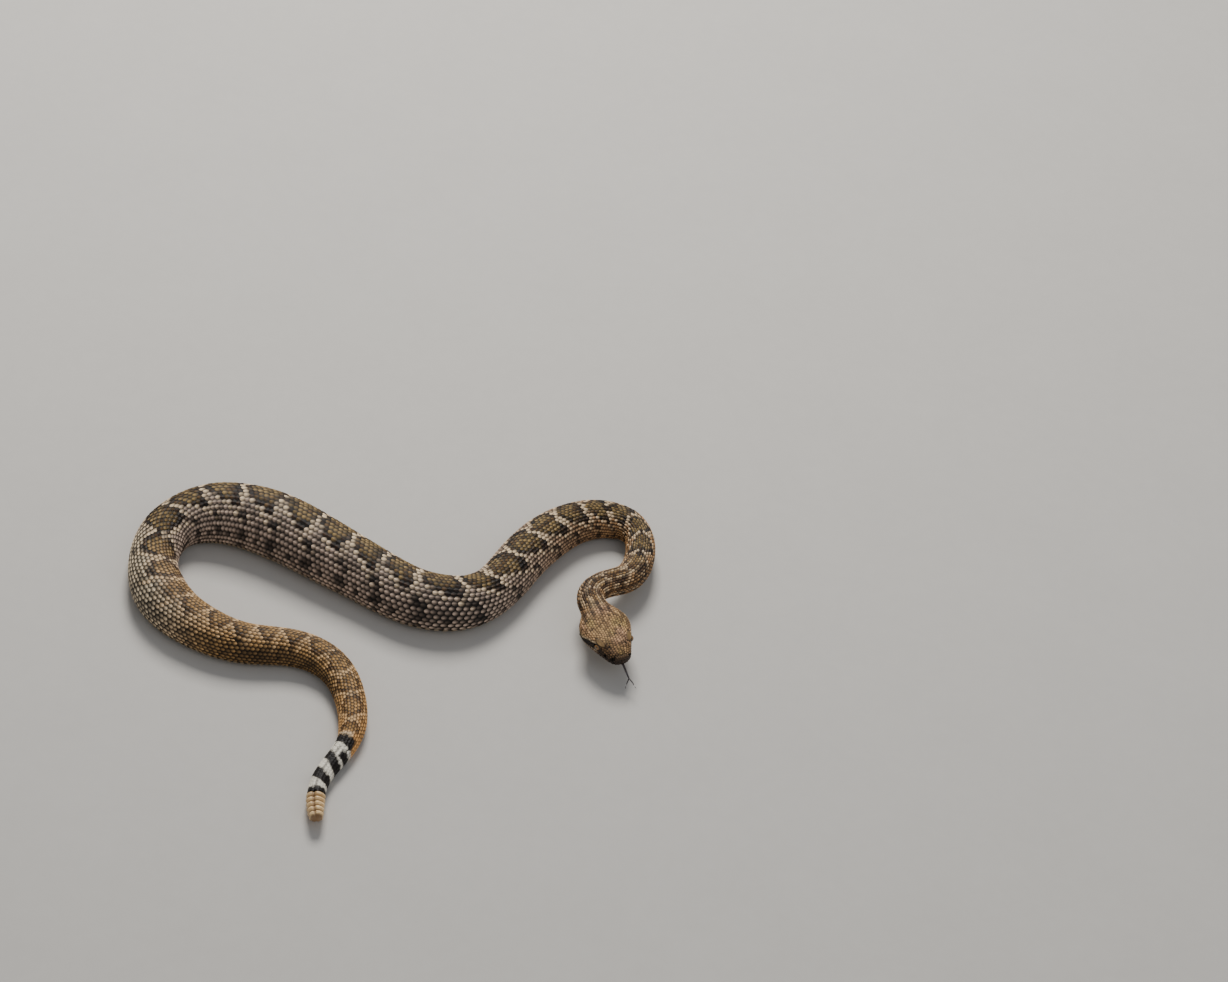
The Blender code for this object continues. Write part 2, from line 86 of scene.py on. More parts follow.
# Along, half width, height above and depth below the centre line
SIZES = (
    (0.0, 0.0, 0.0, 0.0), (0.5, 3.8, 2.6, 2.5), (1.4, 5.9, 4.1, 3.8), (3.0, 7.7, 5.2, 4.8),
    (6.0, 9.6, 6.1, 5.6), (10.0, 11.5, 7.0, 6.3), (14.0, 13.4, 7.7, 6.9), (19.0, 15.6, 8.1, 7.8),
    (24.0, 17.6, 8.3, 8.8), (29.0, 19.2, 8.5, 9.5), (34.0, 19.4, 8.8, 9.6), (39.0, 18.0, 9.2, 9.3),
    (44.0, 15.0, 9.5, 9.0), (50.0, 11.4, 9.7, 8.9), (57.0, 10.4, 9.8, 8.9), (75.0, 10.6, 9.9, 9.0),
    (120.0, 11.4, 10.6, 9.2), (150.0, 11.2, 10.6, 9.4), (180.0, 14.4, 13.4, 10.7),
    (210.0, 16.5, 15.4, 11.8), (250.0, 18.3, 17.1, 12.8), (300.0, 18.2, 17.2, 12.9),
    (350.0, 21.9, 20.2, 14.8), (400.0, 22.9, 21.1, 15.4), (450.0, 25.1, 23.0, 16.6),
    (490.0, 26.2, 24.0, 17.0), (530.0, 24.4, 22.4, 16.0), (575.0, 18.9, 17.6, 13.4),
    (605.0, 17.9, 16.8, 12.9), (640.0, 19.8, 18.4, 13.9), (680.0, 17.7, 16.5, 12.9),
    (720.0, 15.4, 14.4, 11.6), (770.0, 13.3, 12.5, 10.6), (810.0, 11.5, 10.8, 9.6),
    (838.0, 10.4, 9.6, 8.9), (860.0, 8.1, 7.7, 7.3), (885.0, 7.4, 7.1, 6.8), (900.0, 7.1, 7.0, 6.7),
    (912.0, 6.8, 6.8, 6.5), (930.0, 6.9, 7.0, 6.6), (940.0, 6.5, 6.6, 6.3),
)
# Along, power of the section's outline above and below the centre line: 2 is round, more is squarer
SQUARENESS = (
    (0.0, 2.2, 2.2), (4.0, 3.2, 2.5), (14.0, 3.7, 2.7), (24.0, 3.2, 2.6), (34.0, 2.6, 2.5), (46.0, 2.1, 2.4),
    (80.0, 2.0, 2.5), (180.0, 1.95, 2.9), (848.0, 1.95, 2.9), (872.0, 2.0, 2.3), (940.0, 2.0, 2.0),
)
# Depth at which the belly is cut flat, as a share of the whole
BELLY_FLAT = 0.94
# Share at which the spine lies where the body rolls to one side in its bends, and how far the belly follows
ROLL = ((0, 0.0), (150, 0.0), (260, 0.02), (300, 0.05), (345, 0.16), (540, 0.17), (575, 0.09), (600, -0.10),
        (640, -0.17), (720, -0.16), (780, -0.09), (815, 0.02), (935, 0.05))
BELLY_ROLL = 0.6
# Along, and height of the line of the mouth over the centre line
MOUTH_LINE = ((0.0, -1.4), (6.0, -1.9), (14.0, -2.3), (22.0, -2.5), (30.0, -3.2), (37.0, -4.6))
MOUTH_CORNER = 36.0
LIP_STANDS_OUT, LIP_HEIGHT = 0.35, 1.9
EYE_ALONG, EYE_ABOVE, EYE_RADIUS, EYE_STANDS_OUT = 16.5, 2.6, 2.5, 0.7
BROW_ALONG, BROW_ABOVE, BROW_OUT = 16.4, 5.9, -1.6
# Along, above the centre line, radius
NOSTRIL, PIT = (3.2, 2.2, 0.75), (8.6, 0.5, 1.0)
# Places in the model that the middle of the stem and of each tine passes
TONGUE_STEM = ((173.9, 10.2, 16.9), (176.7, 5.2, 15.6), (179.1, 1.6, 13.5), (180.9, -0.4, 11.2))
TONGUE_TIPS = (
    ((180.5, -2.4, 9.6), (179.8, -5.6, 8.7), (179.7, -9.2, 9.2)),
    ((183.3, -2.0, 9.9), (185.3, -4.4, 9.1), (187.1, -7.8, 9.6)),
)
SEGMENTS, SEGMENT_LENGTH, BUTTON_LENGTH, GAP = 4, 4.4, 5.4, 0.3
# Columns of the table of turns, and distance between the stations at which pitches are summed
TABLE_SHARES, STATION_STEP = 129, 0.25
# Least distance of a scale from the floor and from the top of the solids
FLOOR_ROOM, TOP_ROOM = 0.03, 0.01
# CAD nodes that the skin stands for
FLESH = ("head", "jaw", "neck", *(f"body_{k}" for k in range(1, 9)), "tail")


def eased(at: Array, stations: tuple, values: tuple) -> Array:
    """Monotone cubic through (stations, values): its slope is the two sides' harmonic mean, or 0 at a turn.

    Args:
        at: where it is wanted.
        stations: increasing places.
        values: the value at each station.

    Returns:
        The value at each place, held level past both ends.
    """
    x, y = np.array(stations, float), np.array(values, float)
    width, rise = np.diff(x), np.diff(y)
    slope = rise / width
    product = slope[:-1] * slope[1:]
    inner = np.where(product > 0, 2 * product / (slope[:-1] + slope[1:] + 1e-12), 0.0)
    slopes = np.concatenate([slope[:1], inner, slope[-1:]])
    at = np.clip(at, x[0], x[-1])
    i = np.clip(np.searchsorted(x, at, "right") - 1, 0, len(x) - 2)
    u = (at - x[i]) / width[i]
    start, end = slopes[i] * width[i], slopes[i + 1] * width[i]
    return y[i] + u * start + u**2 * (3 * rise[i] - 2 * start - end) + u**3 * (start + end - 2 * rise[i])


def smooth_curve(points: Array, start_direction: Array, step: float = 0.5) -> Array:
    """Cubic spline whose second derivatives agree at each point and which leaves the first in a direction.

    Args:
        points: places that it passes, (n, dimensions).
        start_direction: unit direction at the first place.
        step: rough distance between samples.

    Returns:
        Places along the curve.
    """
    points = np.array(points, float)
    chord = np.linalg.norm(np.diff(points, axis=0), axis=1)
    count = len(points)
    system, right = np.zeros((count, count)), np.zeros(points.shape)
    system[0, 0], right[0] = 1, start_direction
    for i in range(1, count - 1):
        a, b = chord[i - 1], chord[i]
        system[i, i - 1 : i + 2] = 1 / a, 2 / a + 2 / b, 1 / b
        right[i] = 3 * ((points[i] - points[i - 1]) / a**2 + (points[i + 1] - points[i]) / b**2)
    system[-1, -2:] = 1, 2
    right[-1] = 3 * (points[-1] - points[-2]) / chord[-1]
    slopes = np.linalg.solve(system, right)
    knots = np.concatenate([[0], np.cumsum(chord)])
    at = np.linspace(0, knots[-1], int(knots[-1] / step))
    i = np.clip(np.searchsorted(knots, at, "right") - 1, 0, count - 2)
    u, h = ((at - knots[i]) / chord[i])[:, None], chord[i][:, None]
    rise, start, end = points[i + 1] - points[i], slopes[i] * h, slopes[i + 1] * h
    return points[i] + u * start + u**2 * (3 * rise - 2 * start - end) + u**3 * (start + end - 2 * rise)


def unit(vectors: Array) -> Array:
    """Vectors of the same directions and length 1."""
    return vectors / np.maximum(np.linalg.norm(vectors, axis=-1, keepdims=True), 1e-9)


def step_up(value: Array, low: float, high: float) -> Array:
    """Smooth ramp from 0 at low to 1 at high: three times its square less twice its cube."""
    t = np.clip((value - low) / (high - low), 0, 1)
    return t * t * (3 - 2 * t)


def step_down(value: Array, low: float, high: float) -> Array:
    """Smooth ramp from 1 at low to 0 at high."""
    return 1 - step_up(value, low, high)


def between(value: Array, rise: tuple, fall: tuple) -> Array:
    """1 between two stretches over which it smoothly rises and falls, 0 outside them."""
    return step_up(value, *rise) * step_down(value, *fall)


def hump(value: Array, middle: float, width: float, power: int = 2) -> Array:
    """A bell: the exponential of minus a power of the distance from the middle over the width."""
    return np.exp(-(((value - middle) / width) ** power))


def srgb(red: float, green: float, blue: float) -> Array:
    """A colour given as 0 to 255 on screen, as linear light."""
    c = np.array((red, green, blue)) / 255
    return np.where(c <= 0.04045, c / 12.92, ((c + 0.055) / 1.055) ** 2.4)


def hue(red: float, green: float, blue: float) -> Array:
    """A dataclass field that holds a colour given as 0 to 255 on screen."""
    return field(default_factory=lambda: srgb(red, green, blue))


def mixed(first: Array, second: Array, share: Array) -> Array:
    """Blend of two colours or colour lists by share, 0 for the first and 1 for the second."""
    share = np.asarray(share)[..., None]
    return first * (1 - share) + second * share


def wrapped(share: Array) -> Array:
    """The same place round the section as a share from -1 to 1."""
    return (share + 1) % 2 - 1


def hashed(*keys: Array) -> Array:
    """A number from 0 to 1 for each set of whole keys, always the same: the fraction of a large sine."""
    total = sum(np.asarray(k, float) * f for k, f in zip(keys, (12.9898, 78.233, 37.719)))
    return np.modf(np.abs(np.sin(total + 0.137) * 43758.5453))[0]


def smooth_noise(x: Array, y: Array) -> Array:
    """Value noise from -1 to 1: hashed whole corners blended by smooth ramps.

    Args:
        x, y: places, in cells.

    Returns:
        The noise there.
    """
    i, j = np.floor(x), np.floor(y)
    u, v = step_up(x - i, 0, 1), step_up(y - j, 0, 1)
    low = hashed(i, j) * (1 - u) + hashed(i + 1, j) * u
    high = hashed(i, j + 1) * (1 - u) + hashed(i + 1, j + 1) * u
    return 2 * (low * (1 - v) + high * v) - 1


@dataclass
class Form:
    """The snake's own shape: its centre line, its sections and the lie of its skin.

    Attributes:
        coat: how far the skin lies inside the solids.
        along, line, direction: places on the centre line, and its direction there.
        stations: distances along at which the sections are tabled.
        turns: the turn at each of TABLE_SHARES shares of each section's half girth.
        girth: each section's half girth.
        mouth: the share at which the line of the mouth lies in each section.
    """

    coat: float = 0.75
    along: Array = field(init=False)
    line: Array = field(init=False)
    direction: Array = field(init=False)
    stations: Array = field(init=False)
    turns: Array = field(init=False)
    girth: Array = field(init=False)
    mouth: Array = field(init=False)

    def __post_init__(self) -> None:
        """Works out the centre line, and a table of the turn at each share of each section's half girth."""
        snout, nape = np.array(SNOUT), np.array(NAPE)
        heading = (nape - snout) / np.linalg.norm(nape - snout)
        head = snout + np.outer(np.arange(0, np.linalg.norm(nape - snout), 0.5), heading)
        self.line = np.vstack([head, smooth_curve((NAPE, *COURSE), heading)])
        self.direction = unit(np.gradient(self.line, axis=0))
        self.along = np.concatenate([[0], np.cumsum(np.linalg.norm(np.diff(self.line, axis=0), axis=1))])
        self.stations = np.concatenate([np.linspace(0, 60**0.5, 90) ** 2, np.arange(62, 939, 2.0)])
        turn = np.linspace(0, math.pi, 361)
        across, above = self.section(self.stations[:, None], turn[None])
        steps = np.hypot(np.diff(across, axis=1), np.diff(above, axis=1))
        length = np.concatenate([np.zeros((len(steps), 1)), np.cumsum(steps, axis=1)], axis=1)
        self.girth = length[:, -1]
        shares = np.linspace(0, 1, TABLE_SHARES)
        self.turns = np.array([np.interp(shares * row[-1], row, turn) if row[-1] > 0 else shares * math.pi
                               for row in length])
        lips = eased(self.stations, *zip(*MOUTH_LINE))
        self.mouth = np.array([np.interp(-lip, -row, length_row / max(length_row[-1], 1e-6))
                               for lip, row, length_row in zip(lips, above, length)])

    def sizes(self, along: Array) -> list:
        """Half width, height above and depth below. Rooted distances keep the snout blunt."""
        stations, *values = zip(*SIZES)
        return [eased(np.sqrt(np.maximum(along, 0)), np.sqrt(stations), v) for v in values]

    def height(self, along: Array) -> Array:
        """Height of the centre line: lifted at head and neck, at rest on the belly, the rattle raised.

        Args:
            along: distance from the snout.

        Returns:
            Its height over the floor.
        """
        rest_depth = self.sizes(np.array([REST_FROM]))[2][0] * BELLY_FLAT
        lifted = eased(along, (*LIFTED_ALONG, REST_FROM), (*LIFTED_HEIGHT, rest_depth))
        resting = self.sizes(along)[2] * BELLY_FLAT + eased(along, *zip(*RATTLE_RISE))
        return np.where(along < REST_FROM, lifted, resting)

    def section(self, along: Array, turn: Array) -> tuple[Array, Array]:
        """Across and above of the outline: half superellipses in polar form, cut flat at the belly.

        Args:
            along: distance from the snout.
            turn: angle from the top, positive on the left.

        Returns:
            Distance to the left of the centre line, and height above it.
        """
        half_width, above, below = self.sizes(along)
        stations, *powers = zip(*SQUARENESS)
        upper, lower = (eased(along, stations, values) for values in powers)
        top = np.abs(turn) < math.pi / 2
        height = np.maximum(np.where(top, above, below), 1e-6)
        power = np.where(top, upper, lower)
        sine, cosine = np.abs(np.sin(turn)), np.abs(np.cos(turn))
        radius = (sine / np.maximum(half_width, 1e-6)) ** power + (cosine / height) ** power
        radius = radius ** (-1 / power)
        across, up = radius * np.sin(turn), radius * np.cos(turn)
        up = np.maximum(up, -eased(along, (HEAD_END, REST_FROM), (1.0, BELLY_FLAT)) * below)
        on_head = np.clip((HEAD_END - along) / 10, 0, 1) * np.clip(along / 3, 0, 1)
        lip = hump(up, eased(along, *zip(*MOUTH_LINE)), LIP_HEIGHT, 4)
        return across + np.sign(turn) * np.sin(np.abs(turn)) * LIP_STANDS_OUT * lip * on_head, up

    def place(self, along: Array, across: Array, above: Array) -> Array:
        """Places in the model of points along, across and above the centre line.

        Args:
            along: distance from the snout.
            across, above: distances to the left and above the centre line.

        Returns:
            Places, (..., 3).
        """
        along, across, above = np.broadcast_arrays(*(np.array(v, float) for v in (along, across, above)))
        x, y = (np.interp(along, self.along, self.line[:, k]) for k in (0, 1))
        dx, dy = (np.interp(along, self.along, self.direction[:, k]) for k in (0, 1))
        length = np.hypot(dx, dy)
        x, y = x + across * dy / length, y - across * dx / length
        return np.stack([x, y, self.height(along) + above], axis=-1)

    def turn_at(self, along: Array, share: Array) -> Array:
        """The turn at a share of the half girth, read from the table between its rows and columns.

        Args:
            along, share: places on the skin.

        Returns:
            Angle from the top, positive on the left.
        """
        i = np.clip(np.searchsorted(self.stations, along, "right") - 1, 0, len(self.stations) - 2)
        u = np.clip((along - self.stations[i]) / (self.stations[i + 1] - self.stations[i]), 0, 1)
        at = np.clip(np.abs(share), 0, 1) * (TABLE_SHARES - 1)
        j = np.clip(at.astype(int), 0, TABLE_SHARES - 2)
        v = at - j
        low = self.turns[i, j] * (1 - v) + self.turns[i, j + 1] * v
        high = self.turns[i + 1, j] * (1 - v) + self.turns[i + 1, j + 1] * v
        return np.sign(share) * (low * (1 - u) + high * u)

    def outer(self, along: Array, share: Array) -> Array:
        """Places on the outline of the solids. A share past 1 comes round on the other side."""
        return self.place(along, *self.section(along, self.turn_at(along, wrapped(share))))

    def frames(self, along: Array, share: Array) -> tuple[Array, Array, Array, Array]:
        """Places on the outline, and unit directions to the tail, round to the left, and out of the skin.

        Args:
            along, share: places on the skin.

        Returns:
            The places and the three directions.
        """
        back = self.outer(np.maximum(along - 0.3, 0.02), share)
        tail = unit(self.outer(along + 0.3, share) - back)
        left = unit(self.outer(along, share + 0.006) - self.outer(along, share - 0.006))
        return self.outer(along, share), tail, left, unit(np.cross(left, tail))

    def half_girth(self, along: Array) -> Array:
        """Length of the outline from the middle of the back to the middle of the belly."""
        return np.interp(along, self.stations, self.girth)

    def rolled(self, along: Array, away: Array) -> tuple[Array, Array]:
        """Share at which the spine lies, and how far that draws out the side on which a place lies."""
        roll = eased(along, *zip(*ROLL))
        return roll, np.where(away > 0, 1 - (1 - BELLY_ROLL) * roll, 1 + (1 - BELLY_ROLL) * roll)

    def own_share(self, along: Array, share: Array) -> Array:
        """The share counted from the animal's own spine, which the roll of the body carries off the top."""
        away = wrapped(wrapped(share) - eased(along, *zip(*ROLL)))
        return away / self.rolled(along, away)[1]

    def lie(self, along: Array, own: Array) -> Array:
        """The share at which a place counted from the animal's own spine lies."""
        roll, drawn = self.rolled(along, wrapped(own))
        return wrapped(roll + wrapped(own) * drawn)

    def mouth_share(self, along: Array) -> Array:
        """The share at which the line of the mouth lies."""
        return np.interp(along, self.stations, self.mouth)

    def side_share(self, along: float, above: float) -> float:
        """The share at which the side is that far above the centre line.

        Args:
            along, above: distances from the snout and above the centre line.

        Returns:
            The share.
        """
        shares = np.linspace(0.05, 0.95, 400)
        here = np.full(len(shares), along)
        up = self.section(here, self.turn_at(here, shares))[1]
        return float(np.interp(-above, -up, shares))

    def on_side(self, along: float, above: float, side: int, outwards: float) -> Array:
        """A place on one side of the head, moved out of the outline by that much."""
        point = self.outer(np.array([along]), np.array([side * self.side_share(along, above)]))[0]
        return point + side * self.head_axes()[1] * outwards

    def head_axes(self) -> tuple[Array, Array, Array]:
        """Forward along the head, to its left, and up."""
        forward = unit(np.array([SNOUT[0] - NAPE[0], SNOUT[1] - NAPE[1], 0.0]))
        return forward, np.array([-forward[1], forward[0], 0.0]), np.array([0.0, 0.0, 1.0])


@dataclass(frozen=True)
class Markings:
    """The snake's colours as a function of the place on its skin.

    Attributes:
        form: the shape that carries them.
        bars: where pale bars cross the spine.
        reach: own share down to which a blotch reaches.
        bar_width: half width of a bar, as a share of the distance from it to the middle of a blotch.
        band_end: how far back the dark band behind the eye reaches.
        spots: own share, place between two bars, and size of the dark spots of the flanks.
        rings: where a black ring crosses the spine of the tail, its length, its slant to the left, and the
            side that it is on, if only one.
        body_starts, tail_starts: stretches over which the head's pattern gives way to the body's, and the
            body's to the tail's.
        neck_ends, rear_starts: stretches over which the striped neck ends and the paler rear part starts.
        mauve_starts, golden_starts, rust_starts: where the ground takes on these colours.
        bend_starts, bend_ends: where the left side is ash grey, on the outside of the bend.
        stripe: distance round the skin from one stripe of the neck to the next.
        sweep: how far forward the bars lean on the right and on the left, times the square of the share.
        black, chocolate, olive, cream, peach: of the blotches, bars and rings.
        mauve, ash, tan, golden, rust, white, belly: of the ground along the body, the tail and the belly.
        crown, pink, moss: of the head.
    """

    form: Form
    bars: tuple = (46, 63, 80, 101, 124.5, 146, 165, 184, 203, 227, 251, 279, 307, 334, 369, 398, 426, 456,
                   486, 516, 543, 565, 592, 619, 644, 664, 685, 706, 724, 742, 761, 780, 800, 820, 841, 863)
    reach: float = 0.31
    bar_width: float = 0.10
    band_end: float = 30.5
    spots: tuple = ((0.395, 1.0, 0.055), (0.575, 1.0, 0.060), (0.60, 0.0, 0.036), (0.70, 1.0, 0.032))
    rings: tuple = ((860.4, 8.6, -5, 0), (872.5, 7.0, 0, -1), (879.0, 9.4, -15, 0), (895.5, 9.6, -10, 0),
                    (909.6, 6.0, 0, 0))
    body_starts: tuple = (43, 52)
    tail_starts: tuple = (851, 853)
    neck_ends: tuple = (96, 130)
    rear_starts: tuple = (585, 650)
    mauve_starts: tuple = (150, 330)
    golden_starts: tuple = (600, 700)
    rust_starts: tuple = (790, 845)
    bend_starts: tuple = (572, 600)
    bend_ends: tuple = (640, 705)
    stripe: float = 7.0
    sweep: tuple = (135, 60)

    black: Array = hue(16, 10, 7)
    chocolate: Array = hue(54, 34, 17)
    olive: Array = hue(108, 88, 54)
    cream: Array = hue(228, 202, 164)
    peach: Array = hue(222, 184, 136)
    mauve: Array = hue(131, 114, 101)
    ash: Array = hue(148, 134, 112)
    tan: Array = hue(132, 98, 63)
    golden: Array = hue(150, 115, 71)
    rust: Array = hue(184, 135, 80)
    white: Array = hue(240, 233, 216)
    belly: Array = hue(186, 164, 126)
    crown: Array = hue(166, 131, 90)
    pink: Array = hue(186, 145, 113)
    moss: Array = hue(140, 119, 68)

    def ground(self, along: Array, own: Array) -> Array:
        """Colour between the markings: tan neck, mauve mid body, golden rear, ash on the left of the bend.

        Args:
            along, own: places on the skin, the share counted from the spine.

        Returns:
            The colours.
        """
        colour = mixed(self.tan, self.mauve, step_up(along, *self.mauve_starts))
        colour = mixed(colour, self.golden, step_up(along, *self.golden_starts))
        colour = mixed(colour, self.rust, 0.6 * step_up(along, *self.rust_starts))
        bend = step_up(own, 0.08, 0.30) * between(along, self.bend_starts, self.bend_ends)
        return mixed(colour, self.ash, bend)

    def body(self, along: Array, own: Array) -> Array:
        """Blotches with dark rims between cream bars on the back, spots down the sides and a pale belly.

        A blotch is where the distance from the nearest bar, 0 on it and 1 midway, is more than the bar's
        width plus a term that grows with the share, so that it narrows down the side. The cream border goes
        round it and on down the flank as a thin line.

        Args:
            along, own: places on the skin, the share counted from the spine.

        Returns:
            The colours.
        """
        side, girth = np.abs(own), self.form.half_girth(along)
        noise = smooth_noise(along / 3.1, own * girth / 2.6)
        broad = smooth_noise(along / 11 + 7, own * girth / 9)
        neck, late = step_down(along, *self.neck_ends), step_up(along, *self.rear_starts)

        swept = np.where(own < 0, *self.sweep) * np.minimum(side, 0.42) ** 2
        swept = swept * between(along, (100, 125), (560, 600))
        count = np.interp(along + swept, self.bars, np.arange(len(self.bars)))
        pitch = np.interp(count, np.arange(len(self.bars) - 1) + 0.5, np.diff(self.bars))
        signed = 2 * (count - np.round(count))
        centre = np.abs(signed)
        inside = centre - self.bar_width - 0.06 * late - 0.8 * (side / self.reach) ** 2.6 + 0.13 * noise

        ground = self.ground(along, own)
        dust = 0.06 + 0.13 * broad + (0.14 + 0.22 * late) * step_up(noise, -0.2, 0.9)
        colour = mixed(ground, self.black, np.clip(dust, 0, 1))
        for reach, wanted, size in self.spots:
            lengthways = (centre - wanted) * 0.5 * pitch / girth
            away = np.hypot(lengthways, (side - reach) * 0.9) / size + 0.35 * noise
            colour = mixed(colour, self.black, 0.85 * step_down(away, 0.75, 1.25) * (1 - 0.6 * late))

        outside = step_down(inside, -0.02, 0.06)
        border = 0.55 * step_up(inside, -0.36, -0.14) * outside * step_down(side, 0.18, 0.40)
        leg = step_down(np.abs(centre - self.bar_width - 1.75 * (side - 0.10)) * 0.5 * pitch, 1.0, 2.0)
        leg = leg * between(side, (0.12, 0.20), (0.34, 0.50)) * np.where(signed < 0, 0.5, 0.15)
        bar = outside * step_down(side, 0.06, 0.20)
        light = np.max([border, leg, bar], axis=0) * (0.95 - 0.2 * late) * (1 - 0.55 * neck)
        colour = mixed(colour, mixed(self.cream, self.peach, late), light)

        rim = mixed(self.black, self.chocolate, np.clip(0.32 + 0.5 * late + 0.25 * noise, 0, 1))
        middle = mixed(self.olive, self.golden, np.clip(0.7 * late + 0.35 * neck, 0, 1))
        middle = mixed(middle, self.chocolate, 0.75 * step_up(noise, 0.1, 0.5) * (1 - 0.5 * late))
        low = 0.35 * step_up(side, 0.10, 0.26)
        blotch = mixed(rim, middle, step_up(inside + 0.12 * broad - low, 0.08, 0.34))
        colour = mixed(colour, blotch, step_up(inside, -0.02, 0.07) * (1 - 0.25 * late - 0.25 * neck))

        shadow = 0.62 * step_up(own, 0.30, 0.48) * between(along, (660, 720), (800, 840))
        colour = mixed(colour, self.black, shadow)
        streak = np.cos(side * girth * 2 * math.pi / self.stripe) + 0.8 * noise
        dark = 0.75 * neck * step_up(streak, 0.1, 0.7) * step_down(side, 0.5, 0.6)
        colour = mixed(colour, self.chocolate, dark)
        colour = mixed(colour, self.cream, 0.30 * neck * step_up(-streak, 0.3, 1.0))
        pale = mixed(self.belly, ground, np.clip(0.22 + 0.2 * noise, 0, 1))
        return mixed(colour, pale, step_up(side, 0.70, 0.79))

    def tail(self, along: Array, own: Array) -> Array:
        """White with black rings that slant across the spine, where a thin dark line parts the two sides.

        In front of the first ring it is still cream on the left and rust on the right, where the rust goes on
        past the end of that ring.

        Args:
            along, own: places on the skin, the share counted from the spine.

        Returns:
            The colours.
        """
        noise = smooth_noise(along / 2.3 + 40, own * 9)
        slope = np.sin(own * math.pi) / math.pi
        black = np.zeros(np.broadcast(along, own).shape)
        for middle, length, slant, side in self.rings:
            ring = step_down(np.abs(along - middle - slant * slope) - length / 2 + 0.6 * noise, -0.6, 0.6)
            black = np.maximum(black, ring * (step_up(own * side, 0.08, 0.16) if side else 1.0))
        spine = 0.7 * step_down(np.abs(own), 0.02, 0.05) * step_up(along, 864, 868)
        middle, _, slant, _ = self.rings[0]
        right = step_down(own, -0.42, -0.30)
        base = step_down(along - middle - slant * slope - 4.5 * right, -1.0, 1.0)
        rusty = np.maximum(step_down(own, -0.22, -0.05), step_down(along, 852, 855))
        white = mixed(self.white, self.mauve, 0.06 + 0.08 * noise)
        colour = mixed(white, mixed(self.cream, self.rust, rusty), base)
        return mixed(colour, self.black, np.maximum(black, spine) * (1 - base * right))

    def head(self, along: Array, share: Array) -> Array:
        """Golden brown crown, dark snout, and a dark band edged in cream from eye to corner of the mouth.

        Args:
            along, share: places on the skin.

        Returns:
            The colours.
        """
        side, girth = np.abs(share), self.form.half_girth(along)
        noise = smooth_noise(along / 2.2 + 9, share * girth / 2.0)
        broad = smooth_noise(along / 7 + 3, share * girth / 6)
        colour = mixed(self.crown, self.moss, 0.6 * step_up(broad, 0.0, 0.7))
        colour = mixed(colour, self.pink, 0.6 * step_up(-broad, 0.1, 0.7) + 0.3 * step_up(side, 0.25, 0.4))
        colour = mixed(colour, self.chocolate, 0.08 + 0.60 * step_up(noise, 0.05, 0.65))
        colour = mixed(colour, self.chocolate, 0.5 * step_down(np.abs(along - 13 - 2 * broad), 0.8, 2.2))
        dusky = step_down(along, 9, 19) * (0.22 + 0.45 * step_up(-share, 0.02, 0.25))
        colour = mixed(colour, self.chocolate, dusky)

        mouth, eye = self.form.mouth_share(along), self.form.side_share(EYE_ALONG, EYE_ABOVE)
        back = (along - EYE_ALONG) / (self.band_end - EYE_ALONG)
        middle = eye + (mouth - 0.03 - eye) * np.clip(back, 0, 1) ** 0.9
        away = (side - middle) * girth
        band = between(back, (-0.14, 0.0), (1.0, 1.12))
        thick = 2.5 - 1.6 * step_up(back, 0.55, 1.05)
        colour = mixed(colour, self.black, 0.96 * band * step_down(np.abs(away) - thick, -0.3, 0.4))
        above = hump(away, -thick - 0.8, 0.6) * step_up(back, -0.05, 0.1)
        below = hump(away, thick + 0.7, 0.7)
        colour = mixed(colour, self.cream, 0.9 * np.clip((above + 0.7 * below) * band, 0, 1))

        front = (EYE_ALONG - along) / EYE_ALONG
        slant = (side - eye - 0.50 * front * (mouth - eye)) * girth
        face = between(front, (0.02, 0.15), (0.55, 0.75))
        colour = mixed(colour, self.black, 0.75 * face * step_down(np.abs(slant), 1.6, 2.4))
        colour = mixed(colour, self.pink, 0.8 * face * hump(slant, 3.0, 0.8))
        lips = step_up(side, mouth - 0.14, mouth - 0.08) * step_down(along, 13, 17) + step_down(along, 1, 5.5)
        sooty = mixed(self.chocolate, self.black, 0.45)
        colour = mixed(colour, sooty, np.clip(lips, 0, 1) * (0.72 + 0.2 * noise))
        # Painted shade: a dark greenish patch on the rear of the cheek, behind the end of the dark band
        cheek_shade = np.hypot((along - 33.5) / 3.4, away / 3.0 + 0.5) + 0.25 * noise
        colour = mixed(colour, mixed(self.moss, self.black, 0.55), 0.75 * step_down(cheek_shade, 0.6, 1.1))
        streak = np.cos(side * girth * 2 * math.pi / self.stripe) + 0.5 * noise
        colour = mixed(colour, self.chocolate, 0.75 * step_up(streak, 0.0, 0.6) * step_up(along, 34, 40))
        chin = mixed(self.belly, self.mauve, np.clip(0.25 + 0.2 * noise, 0, 1))
        return mixed(colour, chin, step_up(side, mouth + 0.06, mouth + 0.12))

    def tone(self, along: Array, share: Array) -> Array:
        """Colour at a place on the skin: the head's, the body's and the tail's, blended where they meet.

        Args:
            along, share: places on the skin.

        Returns:
            The colours.
        """
        along, share = np.broadcast_arrays(along, share)
        own = self.form.own_share(along, share)
        colour = mixed(self.head(along, share), self.body(along, own), step_up(along, *self.body_starts))
        return mixed(colour, self.tail(along, own), step_up(along, *self.tail_starts))

    def pale(self, along: Array, share: Array) -> Array:
        """Strength of the painted highlight on a scale's middle and keel: most on the sides at mid body.

        Args:
            along, share: places on the skin.

        Returns:
            The amounts, from 0 to 1.
        """
        own = self.form.own_share(along, share)
        amount = 0.22 + 0.30 * step_up(np.abs(own), 0.2, 0.5) * step_up(along, 120, 300)
        amount = amount + 0.25 * step_up(own, 0.05, 0.3) * between(along, self.bend_starts, (660, 720))
        amount = amount * (1 - 0.7 * step_up(along, 846, 858))
        return np.where(along < HEAD_SCALES_END, 0.14, amount)


